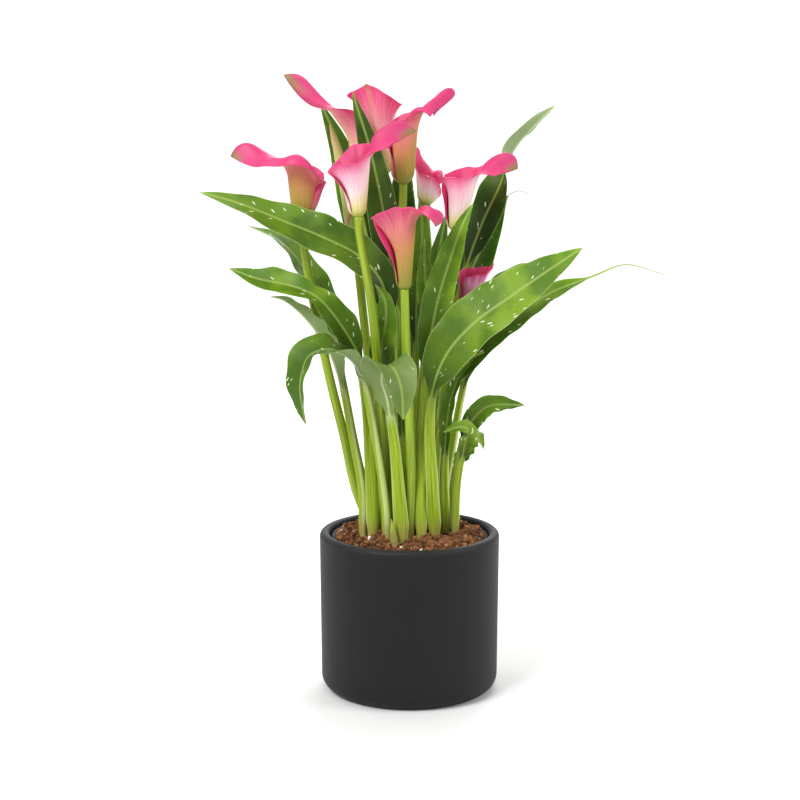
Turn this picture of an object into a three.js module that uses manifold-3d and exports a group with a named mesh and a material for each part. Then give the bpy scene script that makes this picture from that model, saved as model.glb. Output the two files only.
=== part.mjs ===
// A potted calla lily: ten spathes on round stems among lance-shaped, white-flecked leaves, rooted in
// potting soil in a thin grower's pot, which stands inside a plain matt charcoal ceramic cover pot.
// Millimetres, +Z up. The origin is the middle of the cover pot's flat underside; -Y is the front.
import * as THREE from 'three';
import { mergeVertices } from 'three/addons/utils/BufferGeometryUtils.js';
import Module from 'manifold-3d';

const wasm = await Module();
wasm.setup();

// ---- driving dimensions --------------------------------------------------------------------------
const POT_RADIUS = 70; // outside, at the rim
const POT_HEIGHT = 126;
const POT_WALL = 8;
const POT_FLOOR = 8;
const POT_DRAFT = 1; // how much smaller the outside radius is at the base
const POT_BASE_ROUND = 12;
const POT_CORNER_ROUND = 6; // inside, between wall and floor
const POT_SIDES = 60;

const LINER_CLEARANCE = 1; // between the cover pot's wall and the grower's pot's rim
const LINER_RIM_DROP = 3; // rim of the grower's pot below the rim of the cover pot
const LINER_RIM_WIDTH = 2.6;
const LINER_RIM_HEIGHT = 7;
const LINER_WALL = 1.2;
const LINER_TAPER = 6; // how much smaller the grower's pot is at its floor
const DRAIN_HOLES = 6;
const DRAIN_RADIUS = 4;
const DRAIN_CIRCLE = 30;

const SOIL_DROP = 4; // edge of the soil below the rim of the cover pot
const SOIL_MOUND = 4; // the soil's middle above its edge
const GAP = 0.3; // between faces that touch in the real thing
const ROOTED = 24; // length of every stalk that is in the soil

const PLANT_GROWTH = 1; // size of the plant; 1 is the plant as drawn
const STEM_RADIUS = 3.1; // flower stem, under the spathe
const STEM_FOOT_RADIUS = 4.1; // flower stem, at the soil
const BLADE_THICKNESS = 1.4;
const SPATHE_WALL = 1.2;
const SPADIX_RADIUS = 2.4;

// ---- colours of the finishes ---------------------------------------------------------------------
const finish = (color, roughness) => new THREE.MeshStandardMaterial({ color, roughness, metalness: 0 });
const CHARCOAL = finish(0x343536, 0.55);
const BLACK_PLASTIC = finish(0x161616, 0.45);
const SOIL = finish(0x6b4a35, 0.95);
const LEAF = finish(0x4c8a1c, 0.45);
const STALK = finish(0x86a92b, 0.45);
const SPATHE = finish(0xd95a8e, 0.5);
const BUD = finish(0xa9b457, 0.5);
const SPADIX = finish(0xe8c24a, 0.7);

// ---- solids --------------------------------------------------------------------------------------
// A closed geometry from a list of corners and a list of corner triples.
function closedGeometry(corners, triples) {
  const geometry = new THREE.BufferGeometry();
  geometry.setAttribute('position', new THREE.Float32BufferAttribute(corners.flatMap((p) => p.toArray()), 3));
  geometry.setIndex(triples.flat());
  return geometry;
}

// Rings of equally many points, one after the other, joined into a tube; an end whose ring is to be
// closed gets a fan. Rings run anticlockwise as seen from the end of the tube.
function tubeOfRings(rings) {
  const around = rings[0].length;
  const last = (rings.length - 1) * around;
  const triples = [];
  for (let i = 0; i < rings.length - 1; i += 1) {
    for (let k = 0; k < around; k += 1) {
      const a = i * around + k;
      const b = i * around + ((k + 1) % around);
      triples.push([a, b, b + around], [a, b + around, a + around]);
    }
  }
  for (let k = 1; k < around - 1; k += 1) {
    triples.push([0, k + 1, k], [last, last + k, last + k + 1]);
  }
  return closedGeometry(rings.flat(), triples);
}

// A body turned about Z from a profile of [radius, height] pairs that starts and ends on the axis.
function turned(profile, sides) {
  const points = profile.map(([radius, height]) => new THREE.Vector2(radius, height));
  const geometry = new THREE.LatheGeometry(points, sides);
  geometry.rotateX(Math.PI / 2);
  return geometry;
}

// A quarter round from one angle to another, as [radius, height] pairs about a centre.
function arc(centreRadius, centreHeight, size, from, to, steps) {
  return Array.from({ length: steps + 1 }, (_, i) => {
    const angle = THREE.MathUtils.degToRad(from + ((to - from) * i) / steps);
    return [centreRadius + size * Math.cos(angle), centreHeight + size * Math.sin(angle)];
  });
}

function toSolid(geometry) {
  const bare = geometry.clone();
  bare.deleteAttribute('normal');
  bare.deleteAttribute('uv');
  const merged = mergeVertices(bare, 1e-3);
  const vertProperties = new Float32Array(merged.attributes.position.array);
  const triVerts = new Uint32Array(merged.index.array);
  return new wasm.Manifold(new wasm.Mesh({ numProp: 3, vertProperties, triVerts }));
}

function toGeometry(solid) {
  const { vertProperties, triVerts } = solid.getMesh();
  const geometry = new THREE.BufferGeometry();
  geometry.setAttribute('position', new THREE.BufferAttribute(vertProperties, 3));
  geometry.setIndex(new THREE.BufferAttribute(triVerts, 1));
  return geometry;
}

const FRONT_FACES = [[0, -1, 0], [0, -1, 0]];

// ---- stalks and leaves ---------------------------------------------------------------------------
const RING = 8; // points around a stalk or a leaf
const STRAIGHT_FOOT = ROOTED + SOIL_MOUND + 1; // a stalk runs straight up to just above the soil

// The middle line of a stalk: straight up out of the soil at its foot, then through the given points.
function spineOf([footX, footY], points) {
  const line = [
    new THREE.Vector3(footX, footY, -ROOTED),
    new THREE.Vector3(footX, footY, SOIL_MOUND + 1),
    ...points.map(([x, y, z]) => new THREE.Vector3(x, y, z)),
  ];
  const curve = new THREE.CatmullRomCurve3(line, false, 'centripetal');
  curve.arcLengthDivisions = 400;
  return curve;
}

// Local axes at a place on the spine: side, face and the way it runs. The face is the upper side.
function axesAt(curve, fraction, faces) {
  const run = curve.getTangentAt(fraction);
  const place = fraction * (faces.length - 1);
  const before = Math.min(Math.floor(place), faces.length - 2);
  const face = new THREE.Vector3(...faces[before])
    .lerp(new THREE.Vector3(...faces[before + 1]), place - before);
  face.addScaledVector(run, -face.dot(run)).normalize();
  const side = new THREE.Vector3().crossVectors(face, run);
  return { centre: curve.getPointAt(fraction), side, face, run };
}

// A ring in the plane of side and face, from its points' [sideways, upwards] distances.
function ringAt({ centre, side, face }, section) {
  return section.map(([across, up]) => centre.clone().addScaledVector(side, across).addScaledVector(face, up));
}

function roundSection(radius) {
  return Array.from({ length: RING }, (_, k) => {
    const angle = (2 * Math.PI * k) / RING;
    return [radius * Math.cos(angle), radius * Math.sin(angle)];
  });
}

// A blade's section: two wings that rise from the midrib by the fold angle, thick in the middle and
// thin at the margins, with the margins waved up or down.
function bladeSection(halfWidth, foldAngle, thickness, wave) {
  const out = halfWidth * Math.cos(foldAngle);
  const rise = halfWidth * Math.sin(foldAngle);
  const half = thickness / 2;
  return [
    [out, rise + wave],
    [out / 2, rise / 2 + half],
    [0, half * 0.6],
    [-out / 2, rise / 2 + half],
    [-out, rise - wave],
    [-out / 2, rise / 2 - half],
    [0, -half * 1.6],
    [out / 2, rise / 2 - half],
  ];
}

const blend = (from, to, share) => from.map(([a, b], i) => [a + (to[i][0] - a) * share, b + (to[i][1] - b) * share]);
const smooth = (x) => THREE.MathUtils.smoothstep(x, 0, 1);

// Width of a lance-shaped blade along its length, 1 at its widest.
const lance = (q) => (q ** 0.7 * (1 - q) ** 0.9) / (0.4375 ** 0.7 * 0.5625 ** 0.9);

const SHEATH = 0.32; // how much wider than deep a leaf's stalk is above the soil
const SHEATH_RISE = 12; // height over which it widens
const BLADE_RINGS = 9;
const STALK_RINGS = 3;

function leafGeometry({ foot, path, bladeFrom, width, stalk, faces, fold = 20, wave = 0, tail = 0, waist = 1 }) {
  const curve = spineOf(foot, path);
  const length = curve.getLength();
  const bladeStart = bladeFrom * length;
  const [footRadius, neckRadius] = stalk;
  const foldAngle = THREE.MathUtils.degToRad(fold);
  const arcs = [0, STRAIGHT_FOOT];
  for (let i = 1; i <= STALK_RINGS; i += 1) {
    arcs.push(STRAIGHT_FOOT + ((bladeStart - STRAIGHT_FOOT) * i) / STALK_RINGS);
  }
  for (let i = 1; i <= BLADE_RINGS; i += 1) {
    arcs.push(bladeStart + ((length - bladeStart) * i) / BLADE_RINGS);
  }
  const rings = arcs.map((along) => {
    const axes = axesAt(curve, Math.min(along / length, 1), faces);
    const radius = THREE.MathUtils.mapLinear(Math.min(along, bladeStart), 0, bladeStart, footRadius, neckRadius);
    const sheath = 1 + SHEATH * smooth((along - STRAIGHT_FOOT) / SHEATH_RISE) * (1 - 0.7 * smooth(along / bladeStart));
    const stalkSection = roundSection(radius).map(([across, up]) => [across * sheath, up]);
    if (along <= bladeStart) return ringAt(axes, stalkSection);
    const q = Math.min((along - bladeStart) / (length - tail - bladeStart), 0.985);
    const narrowed = THREE.MathUtils.lerp(1, waist, Math.max(1 - Math.abs(q - 0.5) * 4, 0));
    const halfWidth = Math.max((width / 2) * lance(q) * narrowed, 0.6);
    const thickness = THREE.MathUtils.lerp(BLADE_THICKNESS * 1.6, BLADE_THICKNESS * 0.6, q);
    const edge = wave * Math.sin(q * Math.PI * 3) * lance(q);
    const section = bladeSection(halfWidth, foldAngle, thickness, edge);
    return ringAt(axes, blend(stalkSection, section, smooth(q / 0.14)));
  });
  return tubeOfRings(rings);
}

// A flower stem's middle line: its last stretch runs along the flower's axis into the foot of the spathe.
const STRAIGHT_END = 12;
function stemSpine({ foot, path, axis }) {
  const top = new THREE.Vector3(...path[path.length - 1]);
  const below = top.clone().addScaledVector(new THREE.Vector3(...axis).normalize(), -STRAIGHT_END);
  return spineOf(foot, [...path.slice(0, -1), below.toArray(), top.toArray()]);
}

// A round stem from its foot in the soil to just under its spathe.
const STEM_RINGS = 6;
function stemGeometry(flower, endCut) {
  const curve = stemSpine(flower);
  const length = curve.getLength() - endCut;
  const arcs = [0, STRAIGHT_FOOT];
  for (let i = 1; i <= STEM_RINGS; i += 1) {
    arcs.push(STRAIGHT_FOOT + ((length - STRAIGHT_FOOT) * i) / STEM_RINGS);
  }
  const rings = arcs.map((along) => {
    const radius = THREE.MathUtils.mapLinear(along, 0, length, STEM_FOOT_RADIUS, STEM_RADIUS);
    return ringAt(axesAt(curve, along / curve.getLength(), FRONT_FACES), roundSection(radius));
  });
  return tubeOfRings(rings);
}

// The hole that a stalk leaves in the soil: its own straight foot, a gap wider and a gap deeper.
function socketSolid(curve, footRadius, endRadius, endArc, faces) {
  const rings = [0, STRAIGHT_FOOT].map((along) => {
    const axes = axesAt(curve, along / curve.getLength(), faces);
    if (along === 0) axes.centre.addScaledVector(axes.run, -GAP);
    const radius = THREE.MathUtils.mapLinear(along, 0, endArc, footRadius, endRadius);
    return ringAt(axes, roundSection((radius + GAP) / Math.cos(Math.PI / RING)));
  });
  return toSolid(tubeOfRings(rings));
}

// ---- spathes -------------------------------------------------------------------------------------
// A spathe is a funnel about its own axis. Going out along it from the stem, the wall leaves the axis
// steeply over a rounded foot, slightly along the tube, and then by the lean of the limb over the flare.
// The margins roll outwards by a further lean, the tip curls, and the hook at its end curls again. The
// wall is longest at the tip and shortest at the lap opposite it.
//   tube: radius, lean; straight and leans: how far the wall stays a tube and how far the limb leans
//   out, at the tip, the sides and the lap; lengths: at the tip, one side, the other side and the lap;
//   narrow: how quickly the length falls off beside the tip; roll: at one side and the other;
//   hook: extra length, length that curls, curl.
const SPATHE_AROUND = 20;
const SPATHE_RINGS = [0, 0.05, 0.14, 0.34, 0.55, 0.7, 0.85, 1];
const INNER_FIRST = 2; // the inside starts two rings up, which closes the foot
const FOOT_LEAN = 52;
const HOOK_ANGLE = 0.2; // radians over which the length falls away beside the hook
const ROLL_FROM = 0.66; // share of the wall's length where rolling and curling start

function spatheWall(flower, angle, share) {
  const { tube, straight, flare, lengths, leans, narrow, curl, roll, hook } = flower;
  const toTip = Math.max(Math.cos(angle), 0);
  const atTip = toTip ** 4;
  const atLap = Math.max(-Math.cos(angle), 0) ** 1.6;
  const sideways = Math.sin(angle);
  const fromTip = Math.min(angle, 2 * Math.PI - angle);
  const mix = (tip, side, lap, tipShare) => side + (tip - side) * tipShare + (lap - side) * atLap;
  const sideLength = (lengths[1] + lengths[2]) / 2 + ((lengths[1] - lengths[2]) / 2) * sideways;
  const body = mix(lengths[0], sideLength, lengths[3], toTip ** narrow);
  const length = body + hook[0] * Math.exp(-fromTip / HOOK_ANGLE);
  const limbLean = mix(leans[0], leans[1], leans[2], atTip);
  const limbFrom = mix(straight[0], straight[1], straight[2], atTip);
  const rolled = (roll[0] + roll[1]) / 2 + ((roll[0] - roll[1]) / 2) * sideways;
  const endLean = curl * atTip + rolled * (1 - atTip);
  const footEnd = (tube[0] - STEM_RADIUS) / 0.4;
  const steps = 60;
  const stretch = (length * share) / steps;
  let radius = STEM_RADIUS;
  let height = 0;
  let lean = 0;
  for (let i = 0; i < steps; i += 1) {
    const along = (i + 0.5) * stretch;
    lean = THREE.MathUtils.lerp(tube[1], limbLean, smooth((along - limbFrom) / flare));
    lean += endLean * smooth((along / length - ROLL_FROM) / (1 - ROLL_FROM));
    lean += hook[2] * atTip * (1 - smooth((length - along) / hook[1]));
    lean = THREE.MathUtils.degToRad(THREE.MathUtils.lerp(FOOT_LEAN, lean, smooth(along / footEnd)));
    radius += stretch * Math.sin(lean);
    height += stretch * Math.cos(lean);
  }
  return { radius, height, lean };
}

function flowerAxes({ axis, tip }) {
  const up = new THREE.Vector3(...axis).normalize();
  const toTip = new THREE.Vector3(...tip);
  toTip.addScaledVector(up, -toTip.dot(up)).normalize();
  const across = new THREE.Vector3().crossVectors(up, toTip);
  return new THREE.Matrix4().makeBasis(toTip, across, up);
}

function spatheGeometry(flower) {
  const outer = [];
  const inner = [];
  SPATHE_RINGS.forEach((share, ring) => {
    const outerRing = [];
    const innerRing = [];
    for (let k = 0; k < SPATHE_AROUND; k += 1) {
      const angle = (2 * Math.PI * k) / SPATHE_AROUND;
      const { radius, height, lean } = spatheWall(flower, angle, share);
      const inRadius = radius - SPATHE_WALL * Math.cos(lean);
      const inHeight = height + SPATHE_WALL * Math.sin(lean);
      outerRing.push(new THREE.Vector3(radius * Math.cos(angle), radius * Math.sin(angle), height));
      innerRing.push(new THREE.Vector3(inRadius * Math.cos(angle), inRadius * Math.sin(angle), inHeight));
    }
    outer.push(outerRing);
    if (ring >= INNER_FIRST) inner.push(innerRing);
  });
  return tubeOfRings([...outer, ...inner.reverse()]);
}

// Height of the floor inside a spathe, where the spadix stands.
function spatheFloor(flower) {
  const heights = [];
  for (let k = 0; k < SPATHE_AROUND; k += 1) {
    const { height, lean } = spatheWall(flower, (2 * Math.PI * k) / SPATHE_AROUND, SPATHE_RINGS[INNER_FIRST]);
    heights.push(height + SPATHE_WALL * Math.sin(lean));
  }
  return Math.max(...heights);
}

// The spadix: a slim rod, a little thicker in its lower half, with a blunt round end.
function spadixGeometry(length) {
  const r = SPADIX_RADIUS;
  const profile = [[0, 0], [r * 0.85, 0], [r, length * 0.3], [r * 0.85, length * 0.75], [r * 0.5, length * 0.96], [0, length]];
  return turned(profile, 8);
}

// A closed bud: the spathe still rolled tight round its spadix, along its own middle line.
function budGeometry({ budPath, budRadius }) {
  const curve = new THREE.CatmullRomCurve3(budPath.map((p) => new THREE.Vector3(...p)), false, 'centripetal');
  const shares = [0, 0.06, 0.2, 0.4, 0.6, 0.78, 0.9, 1];
  const swell = [0.48, 0.8, 1, 0.96, 0.8, 0.55, 0.3, 0.08];
  const rings = shares.map((share, i) => ringAt(axesAt(curve, share, FRONT_FACES), roundSection(budRadius * swell[i])));
  return tubeOfRings(rings);
}

// ---- what grows, from left to right; heights are above the soil's edge ---------------------------
const TOWARDS_FRONT = [0, -1, 0];
const UP_FRONT = [0, -0.7, 0.7];

const LEAVES = [
  { name: 'leaf_left_long', foot: [-10, -17], path: [[-13, -15, 69], [-14, -18, 132], [-15, -20, 171], [-22, -23, 202],
    [-39, -24, 221], [-64, -24, 234], [-94, -20, 246], [-128, -14, 259], [-158, -8, 267]],
  bladeFrom: 0.5, width: 34, stalk: [4.6, 3], faces: [TOWARDS_FRONT, TOWARDS_FRONT, UP_FRONT, UP_FRONT], fold: 14, wave: 2 },
  { name: 'leaf_left_twisted', foot: [-28, -19], path: [[-30, -17, 54], [-33, -16, 102], [-37, -20, 133],
    [-41, -22, 149], [-55, -26, 173], [-69, -26, 189], [-83, -24, 196], [-96, -20, 199], [-117, -16, 203], [-137, -12, 210]],
  bladeFrom: 0.55, width: 30, waist: 0.5, stalk: [4.4, 3], faces: [TOWARDS_FRONT, TOWARDS_FRONT, [0.5, -0.8, 0.3], UP_FRONT], fold: 20 },
  { name: 'leaf_left_folded', foot: [-36, -13], path: [[-37, -16, 41], [-44, -17, 80], [-52, -16, 122], [-61, -15, 147],
    [-72, -15, 164], [-85, -12, 178], [-97, -9, 186], [-106, -8, 188]],
  bladeFrom: 0.6, width: 18, stalk: [3.6, 2.4], faces: [[1, 0, 0], [0.6, 0.6, 0.6], [0.4, 0.5, 0.8]], fold: 50 },
  { name: 'leaf_left_arching', foot: [-17, -27], path: [[-19, -28, 33], [-26, -31, 81], [-33, -34, 120], [-36, -38, 133],
    [-45, -45, 147], [-59, -53, 154], [-74, -56, 150], [-81, -60, 129], [-77, -60, 98]],
  bladeFrom: 0.58, width: 36, stalk: [4.4, 3], faces: [[-1, 0, 0.2], [-0.6, -0.2, 0.8], [-0.3, -0.3, 0.9], [-0.9, -0.5, 0.2]], fold: 20 },
  { name: 'leaf_front_folded', foot: [-6, -31], path: [[-8, -33, 36], [-12, -37, 83], [-17, -43, 115], [-21, -50, 131],
    [-19, -60, 142], [-13, -70, 143], [-7, -77, 131], [-5, -80, 106]],
  bladeFrom: 0.56, width: 36, stalk: [5.4, 3.2], faces: [[0, 1, 0], [0, 1, 0.4], [0, 0.5, 0.9], [0, -0.9, 0.4]], fold: 25 },
  { name: 'leaf_middle_left', foot: [-20, -4], path: [[-24, -8, 70], [-24, -15, 126], [-21, -26, 154], [-18, -31, 173],
    [-19, -32, 189], [-26, -30, 200]],
  bladeFrom: 0.66, width: 20, stalk: [3.8, 2.4], faces: [TOWARDS_FRONT, TOWARDS_FRONT, UP_FRONT], fold: 20 },
  { name: 'leaf_middle_rolled', foot: [-1, -13], path: [[-4, -20, 55], [-7, -27, 111], [-7, -33, 150], [-9, -36, 184]],
  bladeFrom: 0.5, width: 14, stalk: [3.6, 2.6], faces: [TOWARDS_FRONT, [0.4, -0.9, 0]], fold: 45 },
  { name: 'leaf_tall_middle', foot: [-16, 8], path: [[-15, 6, 66], [-15, 3, 146], [-14, 0, 200], [-17, 0, 230],
    [-23, 0, 268], [-32, 0, 306], [-39, 2, 328], [-43, 4, 342]],
  bladeFrom: 0.5, width: 26, stalk: [4.2, 2.8], faces: [TOWARDS_FRONT, TOWARDS_FRONT, [-0.2, -0.9, 0.3]], fold: 25 },
  { name: 'leaf_tall_left', foot: [-9, 31], path: [[-14, 38, 62], [-26, 48, 157], [-36, 53, 220], [-44, 55, 258],
    [-54, 56, 297], [-64, 55, 321], [-70, 52, 333]],
  bladeFrom: 0.56, width: 26, stalk: [4, 2.6], faces: [TOWARDS_FRONT, TOWARDS_FRONT, [-0.2, -0.9, 0.4]], fold: 22 },
  { name: 'leaf_tall_behind', foot: [-8, 21], path: [[-5, 22, 65], [-6, 24, 143], [-5, 28, 205], [-6, 31, 243],
    [-5, 32, 278], [-1, 30, 305]],
  bladeFrom: 0.5, width: 28, stalk: [4, 2.6], faces: [TOWARDS_FRONT, TOWARDS_FRONT], fold: 20 },
  { name: 'leaf_middle_right', foot: [4, 9], path: [[4, 8, 65], [5, 4, 145], [6, -2, 200], [9, -4, 227], [9, -4, 250], [7, -4, 264]],
  bladeFrom: 0.6, width: 18, stalk: [3.8, 2.4], faces: [TOWARDS_FRONT, TOWARDS_FRONT], fold: 22 },
  { name: 'leaf_inner_right', foot: [19, 2], path: [[17, 5, 66], [17, 5, 145], [18, 4, 184], [20, 4, 211], [24, 4, 230], [28, 4, 251]],
  bladeFrom: 0.6, width: 18, stalk: [3.8, 2.4], faces: [TOWARDS_FRONT, TOWARDS_FRONT], fold: 24 },
  { name: 'leaf_front_right', foot: [8, -15], path: [[4, -14, 70], [11, -17, 141], [15, -20, 176], [12, -22, 199],
    [11, -24, 218], [11, -24, 234]],
  bladeFrom: 0.66, width: 16, stalk: [3.6, 2.4], faces: [TOWARDS_FRONT, TOWARDS_FRONT], fold: 20 },
  { name: 'leaf_bright_right', foot: [9, -26], path: [[9, -24, 72], [12, -25, 127], [16, -28, 162], [22, -31, 192],
    [31, -34, 222], [39, -35, 245], [47, -34, 261]],
  bladeFrom: 0.52, width: 24, stalk: [4, 2.6], faces: [TOWARDS_FRONT, TOWARDS_FRONT, [-0.3, -0.9, 0.2]], fold: 20 },
  { name: 'leaf_back_right', foot: [24, 22], path: [[25, 23, 64], [32, 23, 143], [42, 24, 190], [55, 26, 220],
    [65, 28, 242], [76, 28, 262], [84, 26, 266], [91, 24, 264]],
  bladeFrom: 0.56, tail: 16, width: 30, stalk: [4, 2.6], faces: [TOWARDS_FRONT, TOWARDS_FRONT, [-0.3, -0.9, 0.3]], fold: 18 },
  { name: 'leaf_dark_right', foot: [13, 20], path: [[18, 15, 65], [31, 10, 144], [43, 11, 206], [55, 12, 241],
    [69, 12, 271], [79, 10, 298], [95, 8, 317], [110, 4, 332]],
  bladeFrom: 0.62, width: 28, stalk: [4, 2.6], faces: [TOWARDS_FRONT, TOWARDS_FRONT, TOWARDS_FRONT, [-0.5, 0.8, 0.4]], fold: 25 },
  { name: 'leaf_big_right', foot: [19, -21], path: [[17, -32, 50], [15, -38, 92], [18, -40, 125], [28, -43, 150],
    [48, -45, 173], [74, -45, 192], [100, -43, 210], [128, -38, 228]],
  bladeFrom: 0.46, width: 42, stalk: [4.8, 3.2], faces: [TOWARDS_FRONT, TOWARDS_FRONT, [-0.2, -0.8, 0.5], UP_FRONT], fold: 12 },
  { name: 'leaf_long_right', foot: [20, -10], path: [[19, -12, 47], [23, -14, 86], [31, -14, 113], [44, -14, 139],
    [58, -14, 157], [80, -14, 174], [106, -12, 191], [140, -8, 204], [164, -4, 212], [195, 0, 204]],
  bladeFrom: 0.42, tail: 62, width: 24, stalk: [4, 2.8], faces: [TOWARDS_FRONT, TOWARDS_FRONT, [-0.2, -0.8, 0.5], UP_FRONT], fold: 16 },
  { name: 'leaf_hooked_right', foot: [28, -8], path: [[27, -20, 48], [28, -25, 88], [32, -27, 115], [40, -28, 134],
    [48, -28, 144], [56, -26, 148]],
  bladeFrom: 0.5, width: 16, stalk: [3.8, 2.6], faces: [TOWARDS_FRONT, [-0.4, -0.8, 0.4]], fold: 45 },
  { name: 'leaf_low_right', foot: [33, 3], path: [[34, 1, 27], [38, -5, 64], [43, -12, 84], [51, -14, 97], [61, -16, 105], [88, -18, 106]],
  bladeFrom: 0.62, width: 18, stalk: [3.4, 2.2], faces: [TOWARDS_FRONT, TOWARDS_FRONT, UP_FRONT], fold: 20 },
  { name: 'leaf_low_curled', foot: [35, -13], path: [[37, -16, 45], [42, -22, 76], [44, -27, 88], [38, -34, 92], [25, -39, 89]],
  bladeFrom: 0.64, width: 14, stalk: [3.2, 2.2], faces: [TOWARDS_FRONT, [0.2, -0.8, 0.5]], fold: 30 },
  { name: 'leaf_low_back', foot: [33, 18], path: [[36, 13, 50], [43, 6, 71], [48, 2, 79], [53, -4, 77], [57, -9, 70]],
  bladeFrom: 0.6, width: 20, stalk: [3.4, 2.2], faces: [TOWARDS_FRONT, [0.7, -0.6, 0.3]], fold: 25 },
  { name: 'leaf_rear_left', foot: [-32, 20], path: [[-44, 28, 70], [-58, 40, 140], [-76, 52, 190], [-100, 62, 222], [-128, 66, 236]],
  bladeFrom: 0.5, width: 34, stalk: [4, 2.8], faces: [[0.6, -0.8, 0], [0.5, -0.4, 0.7], [0.1, -0.2, 1]], fold: 16 },
  { name: 'leaf_rear_middle', foot: [2, 34], path: [[2, 44, 70], [0, 56, 150], [-4, 72, 206], [-8, 92, 240], [-10, 116, 252]],
  bladeFrom: 0.5, width: 36, stalk: [4, 2.8], faces: [TOWARDS_FRONT, [0, -0.7, 0.7], [0, -0.1, 1]], fold: 18 },
  { name: 'leaf_rear_right', foot: [25, 34], path: [[34, 44, 60], [46, 56, 120], [62, 68, 168], [84, 80, 196], [110, 88, 206]],
  bladeFrom: 0.5, width: 32, stalk: [4, 2.8], faces: [[-0.6, -0.8, 0], [-0.5, -0.5, 0.7], [-0.1, -0.1, 1]], fold: 16 },
];

// The short pointed shoot of a new leaf, still rolled, between the front stalks.
const SHOOT = { name: 'young_shoot', foot: [-12, -38], path: [[-13, -39, 14], [-14, -39, 22]], radius: 3 };

const FLOWERS = [
  { name: '1', foot: [-21, 19], path: [[-20, 23, 63], [-26, 29, 158], [-35, 33, 227], [-41, 37, 278]],
    axis: [0.12, 0, 1], tip: [-1, -0.5, 0], tube: [6, 8], straight: [16, 26, 30], flare: 24,
    lengths: [62, 44, 40, 34], leans: [45, 4, 0], narrow: 3, curl: 6, roll: [20, 20],
    hook: [44, 26, 56], spadix: 26 },
  { name: '2', foot: [-30, -4], path: [[-42, -7, 40], [-50, -5, 77], [-63, -2, 131], [-74, 0, 185], [-81, 2, 230], [-81, 2, 246]],
    axis: [-0.03, 0, 1], tip: [-1, 0.1, 0], tube: [8.5, 4], straight: [32, 30, 20], flare: 18,
    lengths: [66, 66, 44, 38], leans: [54, 12, 14], narrow: 3, curl: 40, roll: [150, 20],
    hook: [26, 24, 60], spadix: 26 },
  { name: '3', foot: [-6, 8], path: [[-10, 14, 64], [-14, 15, 159], [-18, 16, 229], [-20, 17, 279]],
    axis: [-0.08, -0.02, 1], tip: [-0.4, -0.9, 0], tube: [7, 5], straight: [44, 32, 32], flare: 30,
    lengths: [70, 58, 68, 50], leans: [10, 20, 12], narrow: 2, curl: 10, roll: [30, 30],
    hook: [3, 3, 0], spadix: 28 },
  { name: '4', foot: [-9, -5], path: [[-6, -6, 53], [-7, -6, 124], [-8, -7, 186], [-7, -10, 231], [-5, -14, 274]],
    axis: [0.02, 0, 1], tip: [1, -0.1, 0], tube: [8, 3], straight: [34, 34, 34], flare: 36,
    lengths: [80, 54, 50, 46], leans: [42, 4, 2], narrow: 2.4, curl: 36, roll: [14, 14],
    hook: [16, 18, 210], spadix: 30 },
  { name: '5', foot: [-20, -14], path: [[-21, -20, 56], [-22, -25, 96], [-24, -31, 135], [-29, -40, 189], [-38, -46, 252]],
    axis: [-0.06, 0, 1], tip: [1, -0.05, 0], tube: [6, 8], straight: [50, 18, 12], flare: 20,
    lengths: [62, 54, 42, 40], leans: [62, 10, 34], narrow: 2.5, curl: 30, roll: [20, 20],
    hook: [34, 22, 50], spadix: 28 },
  { name: '6', foot: [2, 20], path: [[10, 20, 65], [13, 18, 159], [14, 19, 222], [13, 20, 256]],
    axis: [0.04, 0.05, 1], tip: [-0.8, 0.5, 0], tube: [7, 5], straight: [30, 12, 12], flare: 24,
    lengths: [44, 26, 32, 20], leans: [4, 24, 30], narrow: 1.6, curl: 10, roll: [20, 60],
    hook: [2, 2, 0], spadix: 18 },
  { name: '7', foot: [10, -3], path: [[16, -4, 69], [24, -10, 148], [31, -14, 190], [34, -18, 239]],
    axis: [0.13, -0.05, 1], tip: [1, -0.3, 0], tube: [6, 8], straight: [38, 20, 16], flare: 34,
    lengths: [68, 50, 42, 42], leans: [58, 8, 24], narrow: 3, curl: 36, roll: [20, 20],
    hook: [22, 20, 80], spadix: 26 },
  { name: '8', foot: [0, -23], path: [[1, -30, 57], [-1, -40, 112], [-3, -47, 159], [-4, -52, 199]],
    axis: [-0.02, -0.05, 1], tip: [1, -0.3, 0], tube: [5, 5], straight: [48, 34, 18], flare: 22,
    lengths: [80, 54, 64, 60], leans: [50, 12, 28], narrow: 2.5, curl: 140, roll: [20, 20],
    hook: [4, 4, 0], spadix: 26 },
  { name: '9', foot: [24, 10], path: [[26, 6, 67], [33, 0, 115], [40, -4, 143], [44, -8, 172]],
    axis: [0.12, -0.05, 1], tip: [0.9, 0.3, 0], tube: [6, 8], straight: [20, 20, 14], flare: 30,
    lengths: [42, 38, 36, 32], leans: [30, 6, 6], narrow: 2, curl: 10, roll: [4, 4],
    hook: [4, 4, 0], spadix: 20 },
];

const BUD_FLOWER = { name: '10', foot: [-21, 31], path: [[-25, 34, 61], [-35, 39, 156], [-40, 41, 203], [-43, 42, 227]],
  axis: [-0.12, 0, 1], budPath: [[-43, 42, 227.5], [-47, 42, 258], [-54, 42, 289], [-62, 42, 316]], budRadius: 6.5 };

// ---- the parts -----------------------------------------------------------------------------------
const plant = new THREE.Group(); // everything above is in this group, whose zero is the soil's edge
const model = new THREE.Group();

function add(group, name, geometry, material) {
  const mesh = new THREE.Mesh(geometry, material);
  mesh.name = name;
  group.add(mesh);
  return mesh;
}

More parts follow.
